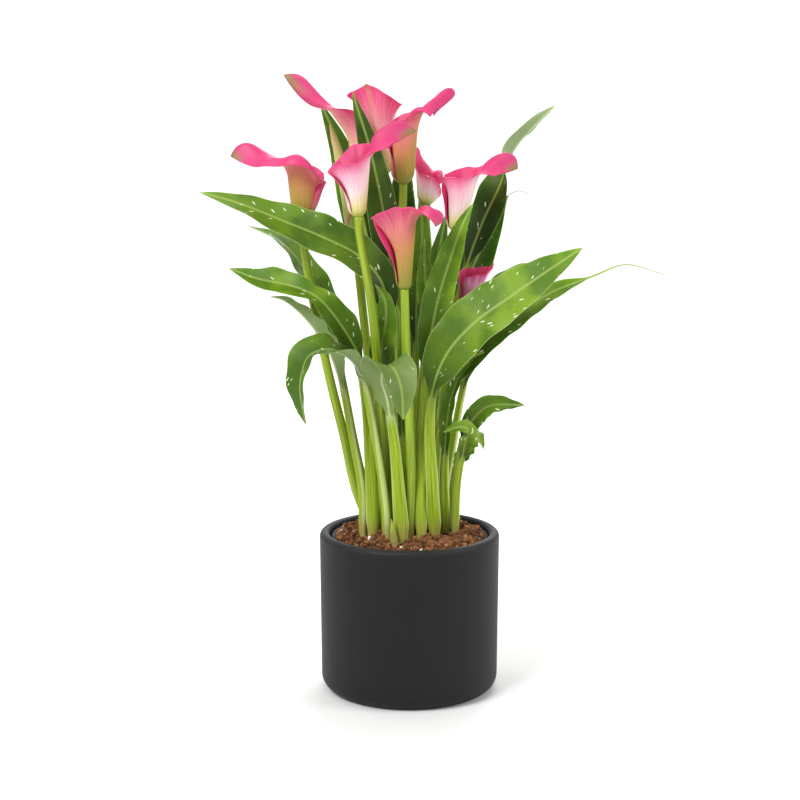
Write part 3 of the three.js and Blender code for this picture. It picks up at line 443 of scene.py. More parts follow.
# Each leaf's foot and path are in millimetres from the middle of the soil's edge, and so are its width
# and its stalk's radius at the foot and at the blade. The blade starts at a share of the length and may
# end in a bare tail. Faces are the ways that its upper side turns, and its fold is in degrees.
LEAVES = [
    dict(name="left_long", foot=(-10, -17), path=[(-13, -15, 69), (-14, -18, 132), (-15, -20, 171),
         (-22, -23, 202), (-39, -24, 221), (-64, -24, 234), (-94, -20, 246), (-128, -14, 259),
         (-158, -8, 267)], blade_from=0.5, width=34, stalk=(4.6, 3), faces=[FRONT, FRONT, UP_FRONT,
         UP_FRONT], fold=14, wave=2, look="deep"),
    dict(name="left_twisted", foot=(-28, -19), path=[(-30, -17, 54), (-33, -16, 102), (-37, -20, 133),
         (-41, -22, 149), (-55, -26, 173), (-69, -26, 189), (-83, -24, 196), (-96, -20, 199),
         (-117, -16, 203), (-137, -12, 210)], blade_from=0.55, width=30, waist=(1, 1, 0.5, 1.1, 1),
         stalk=(4.4, 3), faces=[FRONT, FRONT, (0.5, -0.8, 0.3), UP_FRONT], fold=20, look="bright"),
    dict(name="left_folded", foot=(-36, -13), path=[(-37, -16, 41), (-44, -17, 80), (-52, -16, 122),
         (-61, -15, 147), (-72, -15, 164), (-85, -12, 178), (-97, -9, 186), (-106, -8, 188)], blade_from=0.6,
         width=18, stalk=(3.6, 2.4), faces=[(1, 0, 0), (0.6, 0.6, 0.6), (0.4, 0.5, 0.8)], fold=50,
         look="deep"),
    dict(name="left_arching", foot=(-17, -27), path=[(-19, -28, 33), (-26, -31, 81), (-33, -34, 120),
         (-36, -38, 133), (-45, -45, 147), (-59, -53, 154), (-74, -56, 150), (-81, -60, 129),
         (-77, -60, 98)], blade_from=0.58, width=36, stalk=(4.4, 3), faces=[(-1, 0, 0.2), (-0.6, -0.2, 0.8),
         (-0.3, -0.3, 0.9), (-0.9, -0.5, 0.2)], fold=20, look="deep"),
    dict(name="front_folded", foot=(-6, -31), path=[(-8, -33, 36), (-12, -37, 83), (-17, -43, 115),
         (-21, -50, 131), (-19, -60, 142), (-13, -70, 143), (-7, -77, 131), (-5, -80, 106)], blade_from=0.56,
         width=36, stalk=(5.4, 3.2), faces=[(0, 1, 0), (0, 1, 0.4), (0, 0.5, 0.9), (0, -0.9, 0.4)], fold=25,
         look="grey"),
    dict(name="middle_left", foot=(-20, -4), path=[(-24, -8, 70), (-24, -15, 126), (-21, -26, 154),
         (-18, -31, 173), (-19, -32, 189), (-26, -30, 200)], blade_from=0.66, width=20, stalk=(3.8, 2.4),
         faces=[FRONT, FRONT, UP_FRONT], fold=20, look="bright"),
    dict(name="middle_rolled", foot=(-1, -13), path=[(-4, -20, 55), (-7, -27, 111), (-7, -33, 150),
         (-9, -36, 184)], blade_from=0.5, width=14, stalk=(3.6, 2.6), faces=[FRONT, (0.4, -0.9, 0)], fold=45,
         look="bright"),
    dict(name="tall_middle", foot=(-16, 8), path=[(-15, 6, 66), (-15, 3, 146), (-14, 0, 200), (-17, 0, 230),
         (-23, 0, 268), (-32, 0, 306), (-39, 2, 328), (-43, 4, 342)], blade_from=0.5, width=26,
         stalk=(4.2, 2.8), faces=[FRONT, FRONT, (-0.2, -0.9, 0.3)], fold=25, look="dark"),
    dict(name="tall_left", foot=(-9, 31), path=[(-14, 38, 62), (-26, 48, 157), (-36, 53, 220),
         (-44, 55, 258), (-54, 56, 297), (-64, 55, 321), (-70, 52, 333)], blade_from=0.56, width=26,
         stalk=(4, 2.6), faces=[FRONT, FRONT, (-0.2, -0.9, 0.4)], fold=22, look="deep"),
    dict(name="tall_behind", foot=(-8, 21), path=[(-5, 22, 65), (-6, 24, 143), (-5, 28, 205), (-6, 31, 243),
         (-5, 32, 278), (-1, 30, 305)], blade_from=0.5, width=28, stalk=(4, 2.6), faces=[FRONT, FRONT],
         fold=20, look="dark"),
    dict(name="middle_right", foot=(4, 9), path=[(4, 8, 65), (5, 4, 145), (6, -2, 200), (9, -4, 227),
         (9, -4, 250), (7, -4, 264)], blade_from=0.6, width=18, stalk=(3.8, 2.4), faces=[FRONT, FRONT],
         fold=22, look="deep"),
    dict(name="inner_right", foot=(19, 2), path=[(17, 5, 66), (17, 5, 145), (18, 4, 184), (20, 4, 211),
         (24, 4, 230), (28, 4, 251)], blade_from=0.6, width=18, stalk=(3.8, 2.4), faces=[FRONT, FRONT],
         fold=24, look="deep"),
    dict(name="front_right", foot=(8, -15), path=[(4, -14, 70), (11, -17, 141), (15, -20, 176),
         (12, -22, 199), (11, -24, 218), (11, -24, 234)], blade_from=0.66, width=16, stalk=(3.6, 2.4),
         faces=[FRONT, FRONT], fold=20, look="bright"),
    dict(name="bright_right", foot=(9, -26), path=[(9, -24, 72), (12, -25, 127), (16, -28, 162),
         (22, -31, 192), (31, -34, 222), (39, -35, 245), (47, -34, 261)], blade_from=0.52, width=24,
         stalk=(4, 2.6), faces=[FRONT, FRONT, (-0.3, -0.9, 0.2)], fold=20, look="bright"),
    dict(name="back_right", foot=(24, 22), path=[(25, 23, 64), (32, 23, 143), (42, 24, 190), (55, 26, 220),
         (65, 28, 242), (76, 28, 262), (84, 26, 266), (91, 24, 264)], blade_from=0.56, tail=16, width=30,
         stalk=(4, 2.6), faces=[FRONT, FRONT, (-0.3, -0.9, 0.3)], fold=18, look="deep"),
    dict(name="dark_right", foot=(13, 20), path=[(18, 15, 65), (31, 10, 144), (43, 11, 206), (55, 12, 241),
         (69, 12, 271), (79, 10, 298), (95, 8, 317), (110, 4, 332)], blade_from=0.62, width=28,
         stalk=(4, 2.6), faces=[FRONT, FRONT, FRONT, (-0.5, 0.8, 0.4)], fold=25, look="dark"),
    dict(name="big_right", foot=(19, -21), path=[(17, -32, 50), (15, -38, 92), (18, -40, 125),
         (28, -43, 150), (48, -45, 173), (74, -45, 192), (100, -43, 210), (128, -38, 228)], blade_from=0.46,
         width=42, stalk=(4.8, 3.2), faces=[FRONT, FRONT, (-0.2, -0.8, 0.5), UP_FRONT], fold=12,
         look="bright"),
    dict(name="long_right", foot=(20, -10), path=[(19, -12, 47), (23, -14, 86), (31, -14, 113),
         (44, -14, 139), (58, -14, 157), (80, -14, 174), (106, -12, 191), (140, -8, 204), (164, -4, 212),
         (195, 0, 204)], blade_from=0.42, tail=62, width=24, stalk=(4, 2.8), faces=[FRONT, FRONT,
         (-0.2, -0.8, 0.5), UP_FRONT], fold=16, look="bright"),
    dict(name="hooked_right", foot=(28, -8), path=[(27, -20, 48), (28, -25, 88), (32, -27, 115),
         (40, -28, 134), (48, -28, 144), (56, -26, 148)], blade_from=0.5, width=16, stalk=(3.8, 2.6),
         faces=[FRONT, (-0.4, -0.8, 0.4)], fold=45, look="bright"),
    dict(name="low_right", foot=(33, 3), path=[(34, 1, 27), (38, -5, 64), (43, -12, 84), (51, -14, 97),
         (61, -16, 105), (88, -18, 106)], blade_from=0.62, width=18, stalk=(3.4, 2.2), faces=[FRONT, FRONT,
         UP_FRONT], fold=20, look="deep"),
    dict(name="low_curled", foot=(35, -13), path=[(37, -16, 45), (42, -22, 76), (44, -27, 88), (38, -34, 92),
         (25, -39, 89)], blade_from=0.64, width=14, stalk=(3.2, 2.2), faces=[FRONT, (0.2, -0.8, 0.5)],
         fold=30, look="bright"),
    dict(name="low_back", foot=(33, 18), path=[(36, 13, 50), (43, 6, 71), (48, 2, 79), (53, -4, 77),
         (57, -9, 70)], blade_from=0.6, width=20, stalk=(3.4, 2.2), faces=[FRONT, (0.7, -0.6, 0.3)], fold=25,
         look="bright"),
    dict(name="rear_left", foot=(-32, 20), path=[(-44, 28, 70), (-58, 40, 140), (-76, 52, 190),
         (-100, 62, 222), (-128, 66, 236)], blade_from=0.5, width=34, stalk=(4, 2.8), faces=[(0.6, -0.8, 0),
         (0.5, -0.4, 0.7), (0.1, -0.2, 1)], fold=16, look="deep"),
    dict(name="rear_middle", foot=(2, 34), path=[(2, 44, 70), (0, 56, 150), (-4, 72, 206), (-8, 92, 240),
         (-10, 116, 252)], blade_from=0.5, width=36, stalk=(4, 2.8), faces=[FRONT, (0, -0.7, 0.7),
         (0, -0.1, 1)], fold=18, look="deep"),
    dict(name="rear_right", foot=(25, 34), path=[(34, 44, 60), (46, 56, 120), (62, 68, 168), (84, 80, 196),
         (110, 88, 206)], blade_from=0.5, width=32, stalk=(4, 2.8), faces=[(-0.6, -0.8, 0),
         (-0.5, -0.5, 0.7), (-0.1, -0.1, 1)], fold=16, look="bright"),
]


def smooth_step(share):
    """0 below 0, 1 above 1, and 3 s^2 - 2 s^3 between them."""
    s = np.clip(share, 0, 1)
    return s * s * (3 - 2 * s)


def line_through(points, per_span=80):
    """A smooth line through all the points: on each span a cubic that meets its neighbours without a
    corner, with the spans timed by the root of their length. Gives the line and its length so far."""
    points = np.asarray(points, float)
    held = np.vstack([2 * points[0] - points[1], points, 2 * points[-1] - points[-2]])
    knots = np.concatenate([[0], np.cumsum(np.linalg.norm(np.diff(held, axis=0), axis=1) ** 0.5)])
    spans = zip(knots[1:-2], knots[2:-1])
    time = np.concatenate([np.linspace(a, b, per_span, endpoint=False) for a, b in spans])
    time = np.append(time, knots[-2])
    span = np.clip(np.searchsorted(knots, time, side="right") - 1, 1, len(held) - 3)

    def between(i, j, low, high):
        share = ((time - knots[span + i]) / (knots[span + j] - knots[span + i]))[:, None]
        return low * (1 - share) + high * share

    p0, p1, p2, p3 = held[span - 1], held[span], held[span + 1], held[span + 2]
    a, b, c = between(-1, 0, p0, p1), between(0, 1, p1, p2), between(1, 2, p2, p3)
    line = between(0, 1, between(-1, 1, a, b), between(0, 2, b, c))
    so_far = np.concatenate([[0], np.cumsum(np.linalg.norm(np.diff(line, axis=0), axis=1))])
    return line, so_far


def rooted_line(foot, path):
    """The middle line of a stalk: straight up through the soil, then through the path. The foot and the
    path are in millimetres from the middle of the soil's edge."""
    start = [(*foot, -1000 * STALK_ROOTED), (*foot, 1000 * SOIL_MOUND + 1)]
    return line_through(np.array([*start, *path]) / 1000 + np.array([0, 0, SOIL_LINE]))


def axes_on(line, so_far, along, faces):
    """Middle, sideways and upward directions at lengths along a line. The upward direction passes
    through the given ones in equal steps, squared up to the line."""
    run = np.gradient(line, so_far, axis=0)
    run = np.stack([np.interp(along, so_far, run[:, k]) for k in range(3)], axis=-1)
    run /= np.linalg.norm(run, axis=1, keepdims=True)
    middle = np.stack([np.interp(along, so_far, line[:, k]) for k in range(3)], axis=-1)
    faces = np.array(faces, float)
    place = along / so_far[-1] * (len(faces) - 1)
    up = np.stack([np.interp(place, np.arange(len(faces)), faces[:, k]) for k in range(3)], axis=-1)
    up -= run * (up * run).sum(axis=1, keepdims=True)
    up /= np.linalg.norm(up, axis=1, keepdims=True)
    return middle, np.cross(up, run), up, run


def at_points(shape, *values):
    """A row of three numbers for each point of a grid, from three tables that fit its shape."""
    return np.stack([np.broadcast_to(value, shape) for value in values], axis=-1).reshape(-1, 3)


def at_tube_points(shape, *values):
    """The same for a capped tube, whose end points take the first and the last ring point's numbers."""
    rows = at_points(shape, *values)
    return np.vstack([rows, rows[[0, -1]]])


def lance(q):
    """Width of a lance-shaped blade along its length, 1 at its widest: q^0.7 times (1 - q)^0.9."""
    q = np.clip(q, 0, 1)
    return q**0.7 * (1 - q) ** 0.9 / (0.4375**0.7 * 0.5625**0.9)


def leaf_surface(leaf):
    """A leaf is a closed ring of points carried along its middle line. On the stalk the ring is round
    and, above the soil, widened to a sheath with a channel in its upper side. On the blade it is flat
    and wide, its two halves raised by the fold, its margins waved, its midrib sunk above and standing
    proud below. The first turns into the second over the foot of the blade."""
    line, so_far = rooted_line(leaf["foot"], leaf["path"])
    length = so_far[-1]
    start = leaf["blade_from"] * length
    tail = leaf.get("tail", 0) / 1000
    along = np.concatenate([np.linspace(0, start, 60, endpoint=False), np.linspace(start, length, 110)])
    middle, side, up, _ = axes_on(line, so_far, along, leaf["faces"])
    q = (along - start) / (length - tail - start)
    seed = sum(map(ord, leaf["name"]))
    draw = np.random.default_rng(seed)

    turn = np.linspace(0, 2 * np.pi, 48, endpoint=False)[None]
    across, above = np.cos(turn), np.sin(turn)
    foot_radius, neck_radius = np.array(leaf["stalk"]) / 1000
    radius = foot_radius + (neck_radius - foot_radius) * np.clip(along / start, 0, 1)
    groove = np.exp(-(((turn - np.pi / 2) / 0.55) ** 2))
    channel = CHANNEL_DEPTH * smooth_step((along / start - 0.15) / 0.6)[:, None] * groove
    sheath = SHEATH_WIDENING * smooth_step((along - STALK_ROOTED - SHEATH_START) / SHEATH_RISE)
    sheath = sheath * (1 - 0.7 * smooth_step(along / start))
    round_out = radius[:, None] * across * (1 + 0.10 * channel + sheath[:, None])
    round_up = radius[:, None] * (above - channel)

    waist = np.interp(q, np.linspace(0, 1, 5), leaf.get("waist", (1, 1, 1, 1, 1)))
    width = leaf["width"] / 2000 * lance(np.minimum(q, 0.999)) * waist
    half = np.maximum(width, 0.00022 + 0.0009 * smooth_step((1 - along / length) * 4))[:, None]
    fold = np.radians(leaf.get("fold", 20))
    q = np.clip(q, 0, 1)[:, None]
    shape = lance(q)
    thin = BLADE_THICKNESS / 2 * (1.3 - 0.8 * q) * np.sqrt(np.clip(1 - across**2, 0, 1)) * np.sign(above)
    midrib = np.exp(-((across * half / MIDRIB_WIDTH) ** 2)) * (1 - 0.85 * q)
    ribbed = np.where(above > 0, -MIDRIB_SUNK, -MIDRIB_PROUD) * midrib
    swell = leaf.get("wave", 0) / 1000 * np.sin(3 * np.pi * q) * shape * across * np.abs(across)
    ripples = draw.uniform(4.0, 7.0, 2)[:, None, None]
    starts = draw.uniform(0, 2 * np.pi, 2)[:, None, None]
    ripple = MARGIN_RIPPLE * np.sin(2 * np.pi * ripples * q + starts) * shape * np.abs(across) ** 3
    ripple = np.where(across > 0, ripple[0], ripple[1])
    blade_out = half * across * np.cos(fold)
    blade_up = half * np.abs(across) ** 1.2 * np.sin(fold) + thin + ribbed + swell + ripple
    share = smooth_step(q / 0.14)
    out = round_out * (1 - share) + blade_out * share
    rise = round_up * (1 - share) + blade_up * share
    rings = middle[:, None] + out[..., None] * side[:, None] + rise[..., None] * up[:, None]

    points, faces = capped_tube(rings)
    reach = ((along - start) / (length - start))[:, None]
    blade = at_tube_points(out.shape, across, reach, 0.5 + 0.5 * np.clip(above * 4, -1, 1))
    measure = at_tube_points(out.shape, half * across, along[:, None], seed % 97)
    return points, faces, blade, measure


def fade(tree, value, start, end):
    """1 before start, 0 after end, and a soft change between them."""
    return calc(tree, "SUBTRACT", 1.0, ease(tree, value, start, end))


def stretched(tree, x, y, z, x_scale, y_scale):
    """A place for noise to be read at, from three numbers, the first two of them scaled."""
    scaled = {"X": times(tree, x, x_scale), "Y": times(tree, y, y_scale)}
    return add_node(tree, "CombineXYZ", **scaled, Z=z).outputs[0]


def leaf_finish(name, shadow, green, light, under, flecks):
    """Leaf skin. Above: green that runs from shadow to light in soft clouds, painted shade towards the foot
    of the blade, pale midrib, slanting side veins and white flecks along them. Below: matt grey-green
    with raised veins. The stalk is yellow-green with paler sides that are a painted sheen, and brown
    where it leaves the soil."""
    finish, tree, shader = new_finish(name, Subsurface_Weight=0.12, Subsurface_Scale=0.002,
                                      Subsurface_Radius=(0.5, 1.0, 0.2), Specular_IOR_Level=0.26)
    own, size = values_at(tree, "blade"), values_at(tree, "measure")
    from_rib = calc(tree, "ABSOLUTE", size["X"])
    from_middle = calc(tree, "ABSOLUTE", own["X"])
    slant = calc(tree, "SUBTRACT", size["Y"], times(tree, from_rib, 1.5))
    place = object_place(tree)
    cloud = noise(tree, place, 28.0, 3.0)
    cloudy = ease(tree, cloud, 0.40, 0.62)

    wave = calc(tree, "SINE", times(tree, calc(tree, "MULTIPLY_ADD", cloud, 0.004, slant), np.pi / 0.0034))
    on_blade = ease(tree, own["Y"], 0.0, 0.10)
    vein = times(tree, calc(tree, "POWER", calc(tree, "ABSOLUTE", wave), 5.0), on_blade)
    rib = fade(tree, from_rib, 0.0004, 0.0015)

    half = calc(tree, "MULTIPLY_ADD", calc(tree, "SIGN", size["X"]), 7.0, size["Z"])
    cell = stretched(tree, slant, from_rib, half, 1 / 0.0050, 1 / 0.0048)
    spots = add_node(tree, "TexVoronoi", Vector=cell, Scale=1.0).outputs
    chosen = add_node(tree, "SeparateXYZ", Vector=spots["Color"]).outputs
    fleck_size = calc(tree, "MULTIPLY_ADD", chosen["Y"], 0.16, 0.08)
    fleck = fade(tree, calc(tree, "DIVIDE", spots["Distance"], fleck_size), 0.75, 1.15)
    fleck = times(tree, fleck, calc(tree, "GREATER_THAN", chosen["X"], 1.0 - flecks))
    fleck = times(tree, fleck, ease(tree, own["Y"], 0.06, 0.2))
    fleck = times(tree, fleck, fade(tree, own["Y"], 0.86, 0.97))

    top = blend(tree, cloudy, green, light)
    # Painted shade: the lower half of each blade darkens towards its foot.
    top = blend(tree, fade(tree, own["Y"], 0.0, 0.55), top, shadow)
    top = blend(tree, vein, top, shadow, 0.16)
    top = blend(tree, rib, top, (0.34, 0.46, 0.10), 0.6)
    top = blend(tree, fleck, top, (0.82, 0.86, 0.62), 0.9)
    bottom = blend(tree, cloudy, tuple(0.80 * c for c in under), under)
    bottom = blend(tree, vein, bottom, tuple(0.55 * c for c in under), 0.6)
    bottom = blend(tree, rib, bottom, (0.52, 0.60, 0.34), 0.8)
    skin = blend(tree, own["Z"], bottom, top)
    skin = blend(tree, ease(tree, from_middle, 0.955, 0.995), skin, (0.50, 0.58, 0.25), 0.45)

    streak = noise(tree, stretched(tree, own["X"], size["Y"], size["Z"], 9.0, 22.0), 1.0, 3.0)
    stalk = blend(tree, ease(tree, streak, 0.3, 0.7), (0.15, 0.25, 0.006), (0.40, 0.52, 0.028))
    # Painted sheen: the stalk's two sides, as seen from the front, are painted paler.
    stalk = blend(tree, ease(tree, from_middle, 0.72, 1.0), stalk, (0.66, 0.72, 0.34), 0.6)
    brown = times(tree, fade(tree, size["Y"], 0.030, 0.048), calc(tree, "MULTIPLY_ADD", streak, 0.9, 0.05))
    stalk = blend(tree, brown, stalk, (0.42, 0.30, 0.10))
    join(shader, "Base Color", blend(tree, ease(tree, own["Y"], -0.10, 0.08), stalk, skin))

    relief = times(tree, vein, calc(tree, "MULTIPLY_ADD", own["Z"], -1.6, 0.8))
    relief = calc(tree, "ADD", relief, times(tree, noise(tree, place, 420.0, 3.0), 0.25))
    lines = times(tree, streak, calc(tree, "MULTIPLY_ADD", on_blade, -0.8, 0.8))
    emboss(shader, calc(tree, "ADD", relief, lines), 0.25, 0.0005)
    matt = calc(tree, "MULTIPLY_ADD", own["Z"], -0.20, 0.60)
    join(shader, "Roughness", calc(tree, "MULTIPLY_ADD", cloud, 0.12, matt))
    return finish


LEAF_LOOKS = {
    # The dark look is painted shade: leaves set deep behind the others get a darker copy of the same skin.
    "dark": leaf_finish("leaf_dark", (0.012, 0.030, 0.002), (0.026, 0.062, 0.004), (0.060, 0.115, 0.007),
                        (0.31, 0.40, 0.19), 0.22),
    "deep": leaf_finish("leaf_deep", (0.018, 0.048, 0.003), (0.050, 0.115, 0.005), (0.125, 0.235, 0.010),
                        (0.25, 0.34, 0.13), 0.36),
    "bright": leaf_finish("leaf_bright", (0.034, 0.082, 0.002), (0.082, 0.175, 0.003), (0.190, 0.320, 0.012),
                          (0.26, 0.36, 0.11), 0.38),
    # The grey look is a painted sheen: the upper side of the leaf that curls towards the front is painted
    # grey-green for the gloss it shows.
    "grey": leaf_finish("leaf_grey_sheen", (0.070, 0.115, 0.022), (0.120, 0.185, 0.038), (0.170, 0.250, 0.062),
                        (0.20, 0.28, 0.085), 0.16),
}
for leaf in LEAVES:
    points, faces, blade, measure = leaf_surface(leaf)
    name = "leaf_" + leaf["name"]
    look = LEAF_LOOKS[leaf["look"]]
    fill_mesh(name + "_grown", points, faces, look, "leaf", [name], blade=blade, measure=measure)

# ---- Flower stems -----------------------------------------------------------------------------------
# The flower stems are round and solid, a pencil's thickness at the soil and a little thinner at the
# flower, which each one enters along the flower's own axis.
STEM_FOOT_RADIUS = 0.0041
STEM_RADIUS = 0.0031
STEM_END = 12
# Each flower's stem foot and path are in millimetres, like a leaf's, and so are its tube's radius, the
# lengths of its wall at the tip, both sides and the lap, and where each starts to flare. The tube's lean,
# the limb's leans at those places, the curl of the tip, the roll of the margins and the last number of
# the hook are degrees; the hook's first two are its added length and how much of its end it bends.
FLOWERS = [
    dict(name="1", foot=(-21, 19), path=[(-20, 23, 63), (-26, 29, 158), (-35, 33, 227), (-41, 37, 278)],
         axis=(0.12, 0, 1), tip=(-1, -0.5, 0), tube=(6, 8), straight=(16, 26, 30), flare=24,
         lengths=(62, 44, 40, 34), leans=(45, 4, 0), narrow=3, curl=6, roll=(20, 20), hook=(44, 26, 56),
         spadix=26, look="pink"),
    dict(name="2", foot=(-30, -4), path=[(-42, -7, 40), (-50, -5, 77), (-63, -2, 131), (-74, 0, 185),
         (-81, 2, 230), (-81, 2, 246)], axis=(-0.03, 0, 1), tip=(-1, 0.1, 0), tube=(8.5, 4),
         straight=(32, 30, 20), flare=18, lengths=(66, 66, 44, 38), leans=(54, 12, 14), narrow=3, curl=40,
         roll=(150, 20), hook=(26, 24, 60), spadix=26, look="copper"),
    dict(name="3", foot=(-6, 8), path=[(-10, 14, 64), (-14, 15, 159), (-18, 16, 229), (-20, 17, 279)],
         axis=(-0.08, -0.02, 1), tip=(-0.4, -0.9, 0), tube=(7, 5), straight=(44, 32, 32), flare=30,
         lengths=(70, 58, 68, 50), leans=(10, 20, 12), narrow=2, curl=10, roll=(30, 30), hook=(3, 3, 0),
         spadix=28, look="pink"),
    dict(name="4", foot=(-9, -5), path=[(-6, -6, 53), (-7, -6, 124), (-8, -7, 186), (-7, -10, 231),
         (-5, -14, 274)], axis=(0.02, 0, 1), tip=(1, -0.1, 0), tube=(8, 3), straight=(34, 34, 34), flare=36,
         lengths=(80, 54, 50, 46), leans=(42, 4, 2), narrow=2.4, curl=36, roll=(14, 14), hook=(16, 18, 210),
         spadix=30, look="copper"),
    dict(name="5", foot=(-20, -14), path=[(-21, -20, 56), (-22, -25, 96), (-24, -31, 135), (-29, -40, 189),
         (-38, -46, 252)], axis=(-0.06, 0, 1), tip=(1, -0.05, 0), tube=(6, 8), straight=(50, 18, 12),
         flare=20, lengths=(62, 54, 42, 40), leans=(62, 10, 34), narrow=2.5, curl=30, roll=(20, 20),
         hook=(34, 22, 50), spadix=28, look="blush"),
    dict(name="6", foot=(2, 20), path=[(10, 20, 65), (13, 18, 159), (14, 19, 222), (13, 20, 256)],
         axis=(0.04, 0.05, 1), tip=(-0.8, 0.5, 0), tube=(7, 5), straight=(30, 12, 12), flare=24,
         lengths=(44, 26, 32, 20), leans=(4, 24, 30), narrow=1.6, curl=10, roll=(20, 60), hook=(2, 2, 0),
         spadix=18, look="blush"),
    dict(name="7", foot=(10, -3), path=[(16, -4, 69), (24, -10, 148), (31, -14, 190), (34, -18, 239)],
         axis=(0.13, -0.05, 1), tip=(1, -0.3, 0), tube=(6, 8), straight=(38, 20, 16), flare=34,
         lengths=(68, 50, 42, 42), leans=(58, 8, 24), narrow=3, curl=36, roll=(20, 20), hook=(22, 20, 80),
         spadix=26, look="blush"),
    dict(name="8", foot=(0, -23), path=[(1, -30, 57), (-1, -40, 112), (-3, -47, 159), (-4, -52, 199)],
         axis=(-0.02, -0.05, 1), tip=(1, -0.3, 0), tube=(5, 5), straight=(48, 34, 18), flare=22,
         lengths=(80, 54, 64, 60), leans=(50, 12, 28), narrow=2.5, curl=140, roll=(20, 20), hook=(4, 4, 0),
         spadix=26, look="copper"),
    dict(name="9", foot=(24, 10), path=[(26, 6, 67), (33, 0, 115), (40, -4, 143), (44, -8, 172)],
         axis=(0.12, -0.05, 1), tip=(0.9, 0.3, 0), tube=(6, 8), straight=(20, 20, 14), flare=30,
         lengths=(42, 38, 36, 32), leans=(30, 6, 6), narrow=2, curl=10, roll=(4, 4), hook=(4, 4, 0),
         spadix=20, look="mauve"),
]
BUD = dict(name="10", foot=(-21, 31), path=[(-25, 34, 61), (-35, 39, 156), (-40, 41, 203),
           (-43, 42, 227)], axis=(-0.12, 0, 1), bud_path=[(-43, 42, 227.5), (-47, 42, 258), (-54, 42, 289),
           (-62, 42, 316)], bud_radius=6.5)


def unit(direction):
    """The same direction, of length 1."""
    return np.array(direction, float) / np.linalg.norm(direction)


def round_rings(middle, side, up, radius, turn):
    """Rings round a middle line: the radius times the cosine of the turn sideways and its sine upwards."""
    ring = np.cos(turn)[..., None] * side[:, None] + np.sin(turn)[..., None] * up[:, None]
    return middle[:, None] + radius[..., None] * ring


stem_skin, tree, shader = new_finish("stem_skin", Subsurface_Weight=0.12, Subsurface_Scale=0.002,
                                     Roughness=0.42)
own = values_at(tree, "measure")
streak = noise(tree, stretched(tree, own["X"], own["Y"], own["Z"], 3.0, 18.0), 1.0, 4.0)
colour = blend(tree, ease(tree, streak, 0.28, 0.72), (0.150, 0.260, 0.006), (0.370, 0.480, 0.020))
foot = fade(tree, own["Y"], 0.028, 0.045)
join(shader, "Base Color", blend(tree, foot, colour, (0.40, 0.30, 0.12), 0.6))
emboss(shader, streak, 0.3, 0.0004)

for flower in [*FLOWERS, BUD]:
    top = np.array(flower["path"][-1], float)
    below = top - STEM_END * unit(flower["axis"])
    line, so_far = rooted_line(flower["foot"], [*flower["path"][:-1], tuple(below), tuple(top)])
    along = np.linspace(0, so_far[-1] - 0.0001, 110)
    middle, side, up, _ = axes_on(line, so_far, along, [FRONT, FRONT])
    turn = np.linspace(0, 2 * np.pi, 28, endpoint=False)[None]
    radius = STEM_FOOT_RADIUS + (STEM_RADIUS - STEM_FOOT_RADIUS) * along / so_far[-1]
    rings = round_rings(middle, side, up, radius[:, None], turn)
    points, faces = capped_tube(rings)
    from_front = np.abs(turn - np.pi)
    measure = at_tube_points(rings.shape[:2], from_front, along[:, None], float(flower["name"]))
    name = "flower_stem_" + flower["name"]
    fill_mesh(name + "_grown", points, faces, stem_skin, "stalk", [name], measure=measure)

# ---- Spathes ----------------------------------------------------------------------------------------
# Each open flower is one coloured sheet, the spathe, rolled into a funnel round the spadix. One margin
# laps over the other down the front, the limb flares and rolls back, and the tip is drawn out to a hook.
SPATHE_WALL = 0.0009
FOOT_LEAN = 52.0
LAP = 0.75
FOOT_GROWTH = 0.40
CURL_FROM = 0.66
HOOK_SPREAD = 0.2
RUFFLE = 0.0011
FINE_RUFFLE = 0.0005
LAP_CLEARANCE = 0.0009


def shares_of(angle):
    """How far each angle faces the tip, how far it faces the lap and how far to one side or the other:
    its cosine, a power of it, and its sine."""
    turn = np.clip(angle, -np.pi, np.pi)
    to_tip, to_lap = np.clip(np.cos(turn), 0, 1), np.clip(-np.cos(turn), 0, 1)
    return to_tip, to_lap**1.6, np.sin(turn)


def by_angle(values, at_tip, at_lap):
    """A value at each angle, from its values at the tip, at both sides and at the lap."""
    return values[1] + (values[0] - values[1]) * at_tip + (values[2] - values[1]) * at_lap


def spathe_profile(flower, angle, length, points):
    """The spathe's wall at each angle round its axis. Going out along it from the stem, the wall leans
    away from the axis: steeply over a rounded foot, slightly along the tube, then over the flare to the
    limb's lean, with an extra curl towards the end and a last one at the hook. Radius and height are
    the running sums of the lean's sine and cosine."""
    tube_radius, tube_lean = flower["tube"]
    to_tip, at_lap, sideways = shares_of(angle)
    at_tip = to_tip**4
    limb = by_angle(flower["leans"], at_tip, at_lap)
    straight_end = by_angle(flower["straight"], at_tip, at_lap) / 1000
    roll = np.interp(sideways, [-1, 1], flower["roll"][::-1])
    share = np.linspace(0, 1, points)[:, None]
    along = share * length
    foot_end = (tube_radius / 1000 - STEM_RADIUS) / FOOT_GROWTH
    _, hook_reach, hook_curl = flower["hook"]
    lean = tube_lean + (limb - tube_lean) * smooth_step((along - straight_end) / (flower["flare"] / 1000))
    curled = smooth_step((share - CURL_FROM) / (1 - CURL_FROM))
    lean = lean + (flower["curl"] * at_tip + roll * (1 - at_tip)) * curled
    left = (length - along) * 1000 / hook_reach
    lean = lean + hook_curl * at_tip * (1 - smooth_step(left))
    lean = lean + (FOOT_LEAN - lean) * (1 - smooth_step(along / foot_end))
    lean = np.radians(lean)
    step = length / (points - 1)
    radius = STEM_RADIUS + np.cumsum(np.sin(lean), axis=0) * step - np.sin(lean[:1]) * step
    height = np.cumsum(np.cos(lean), axis=0) * step - np.cos(lean[:1]) * step
    return radius, height, lean, along


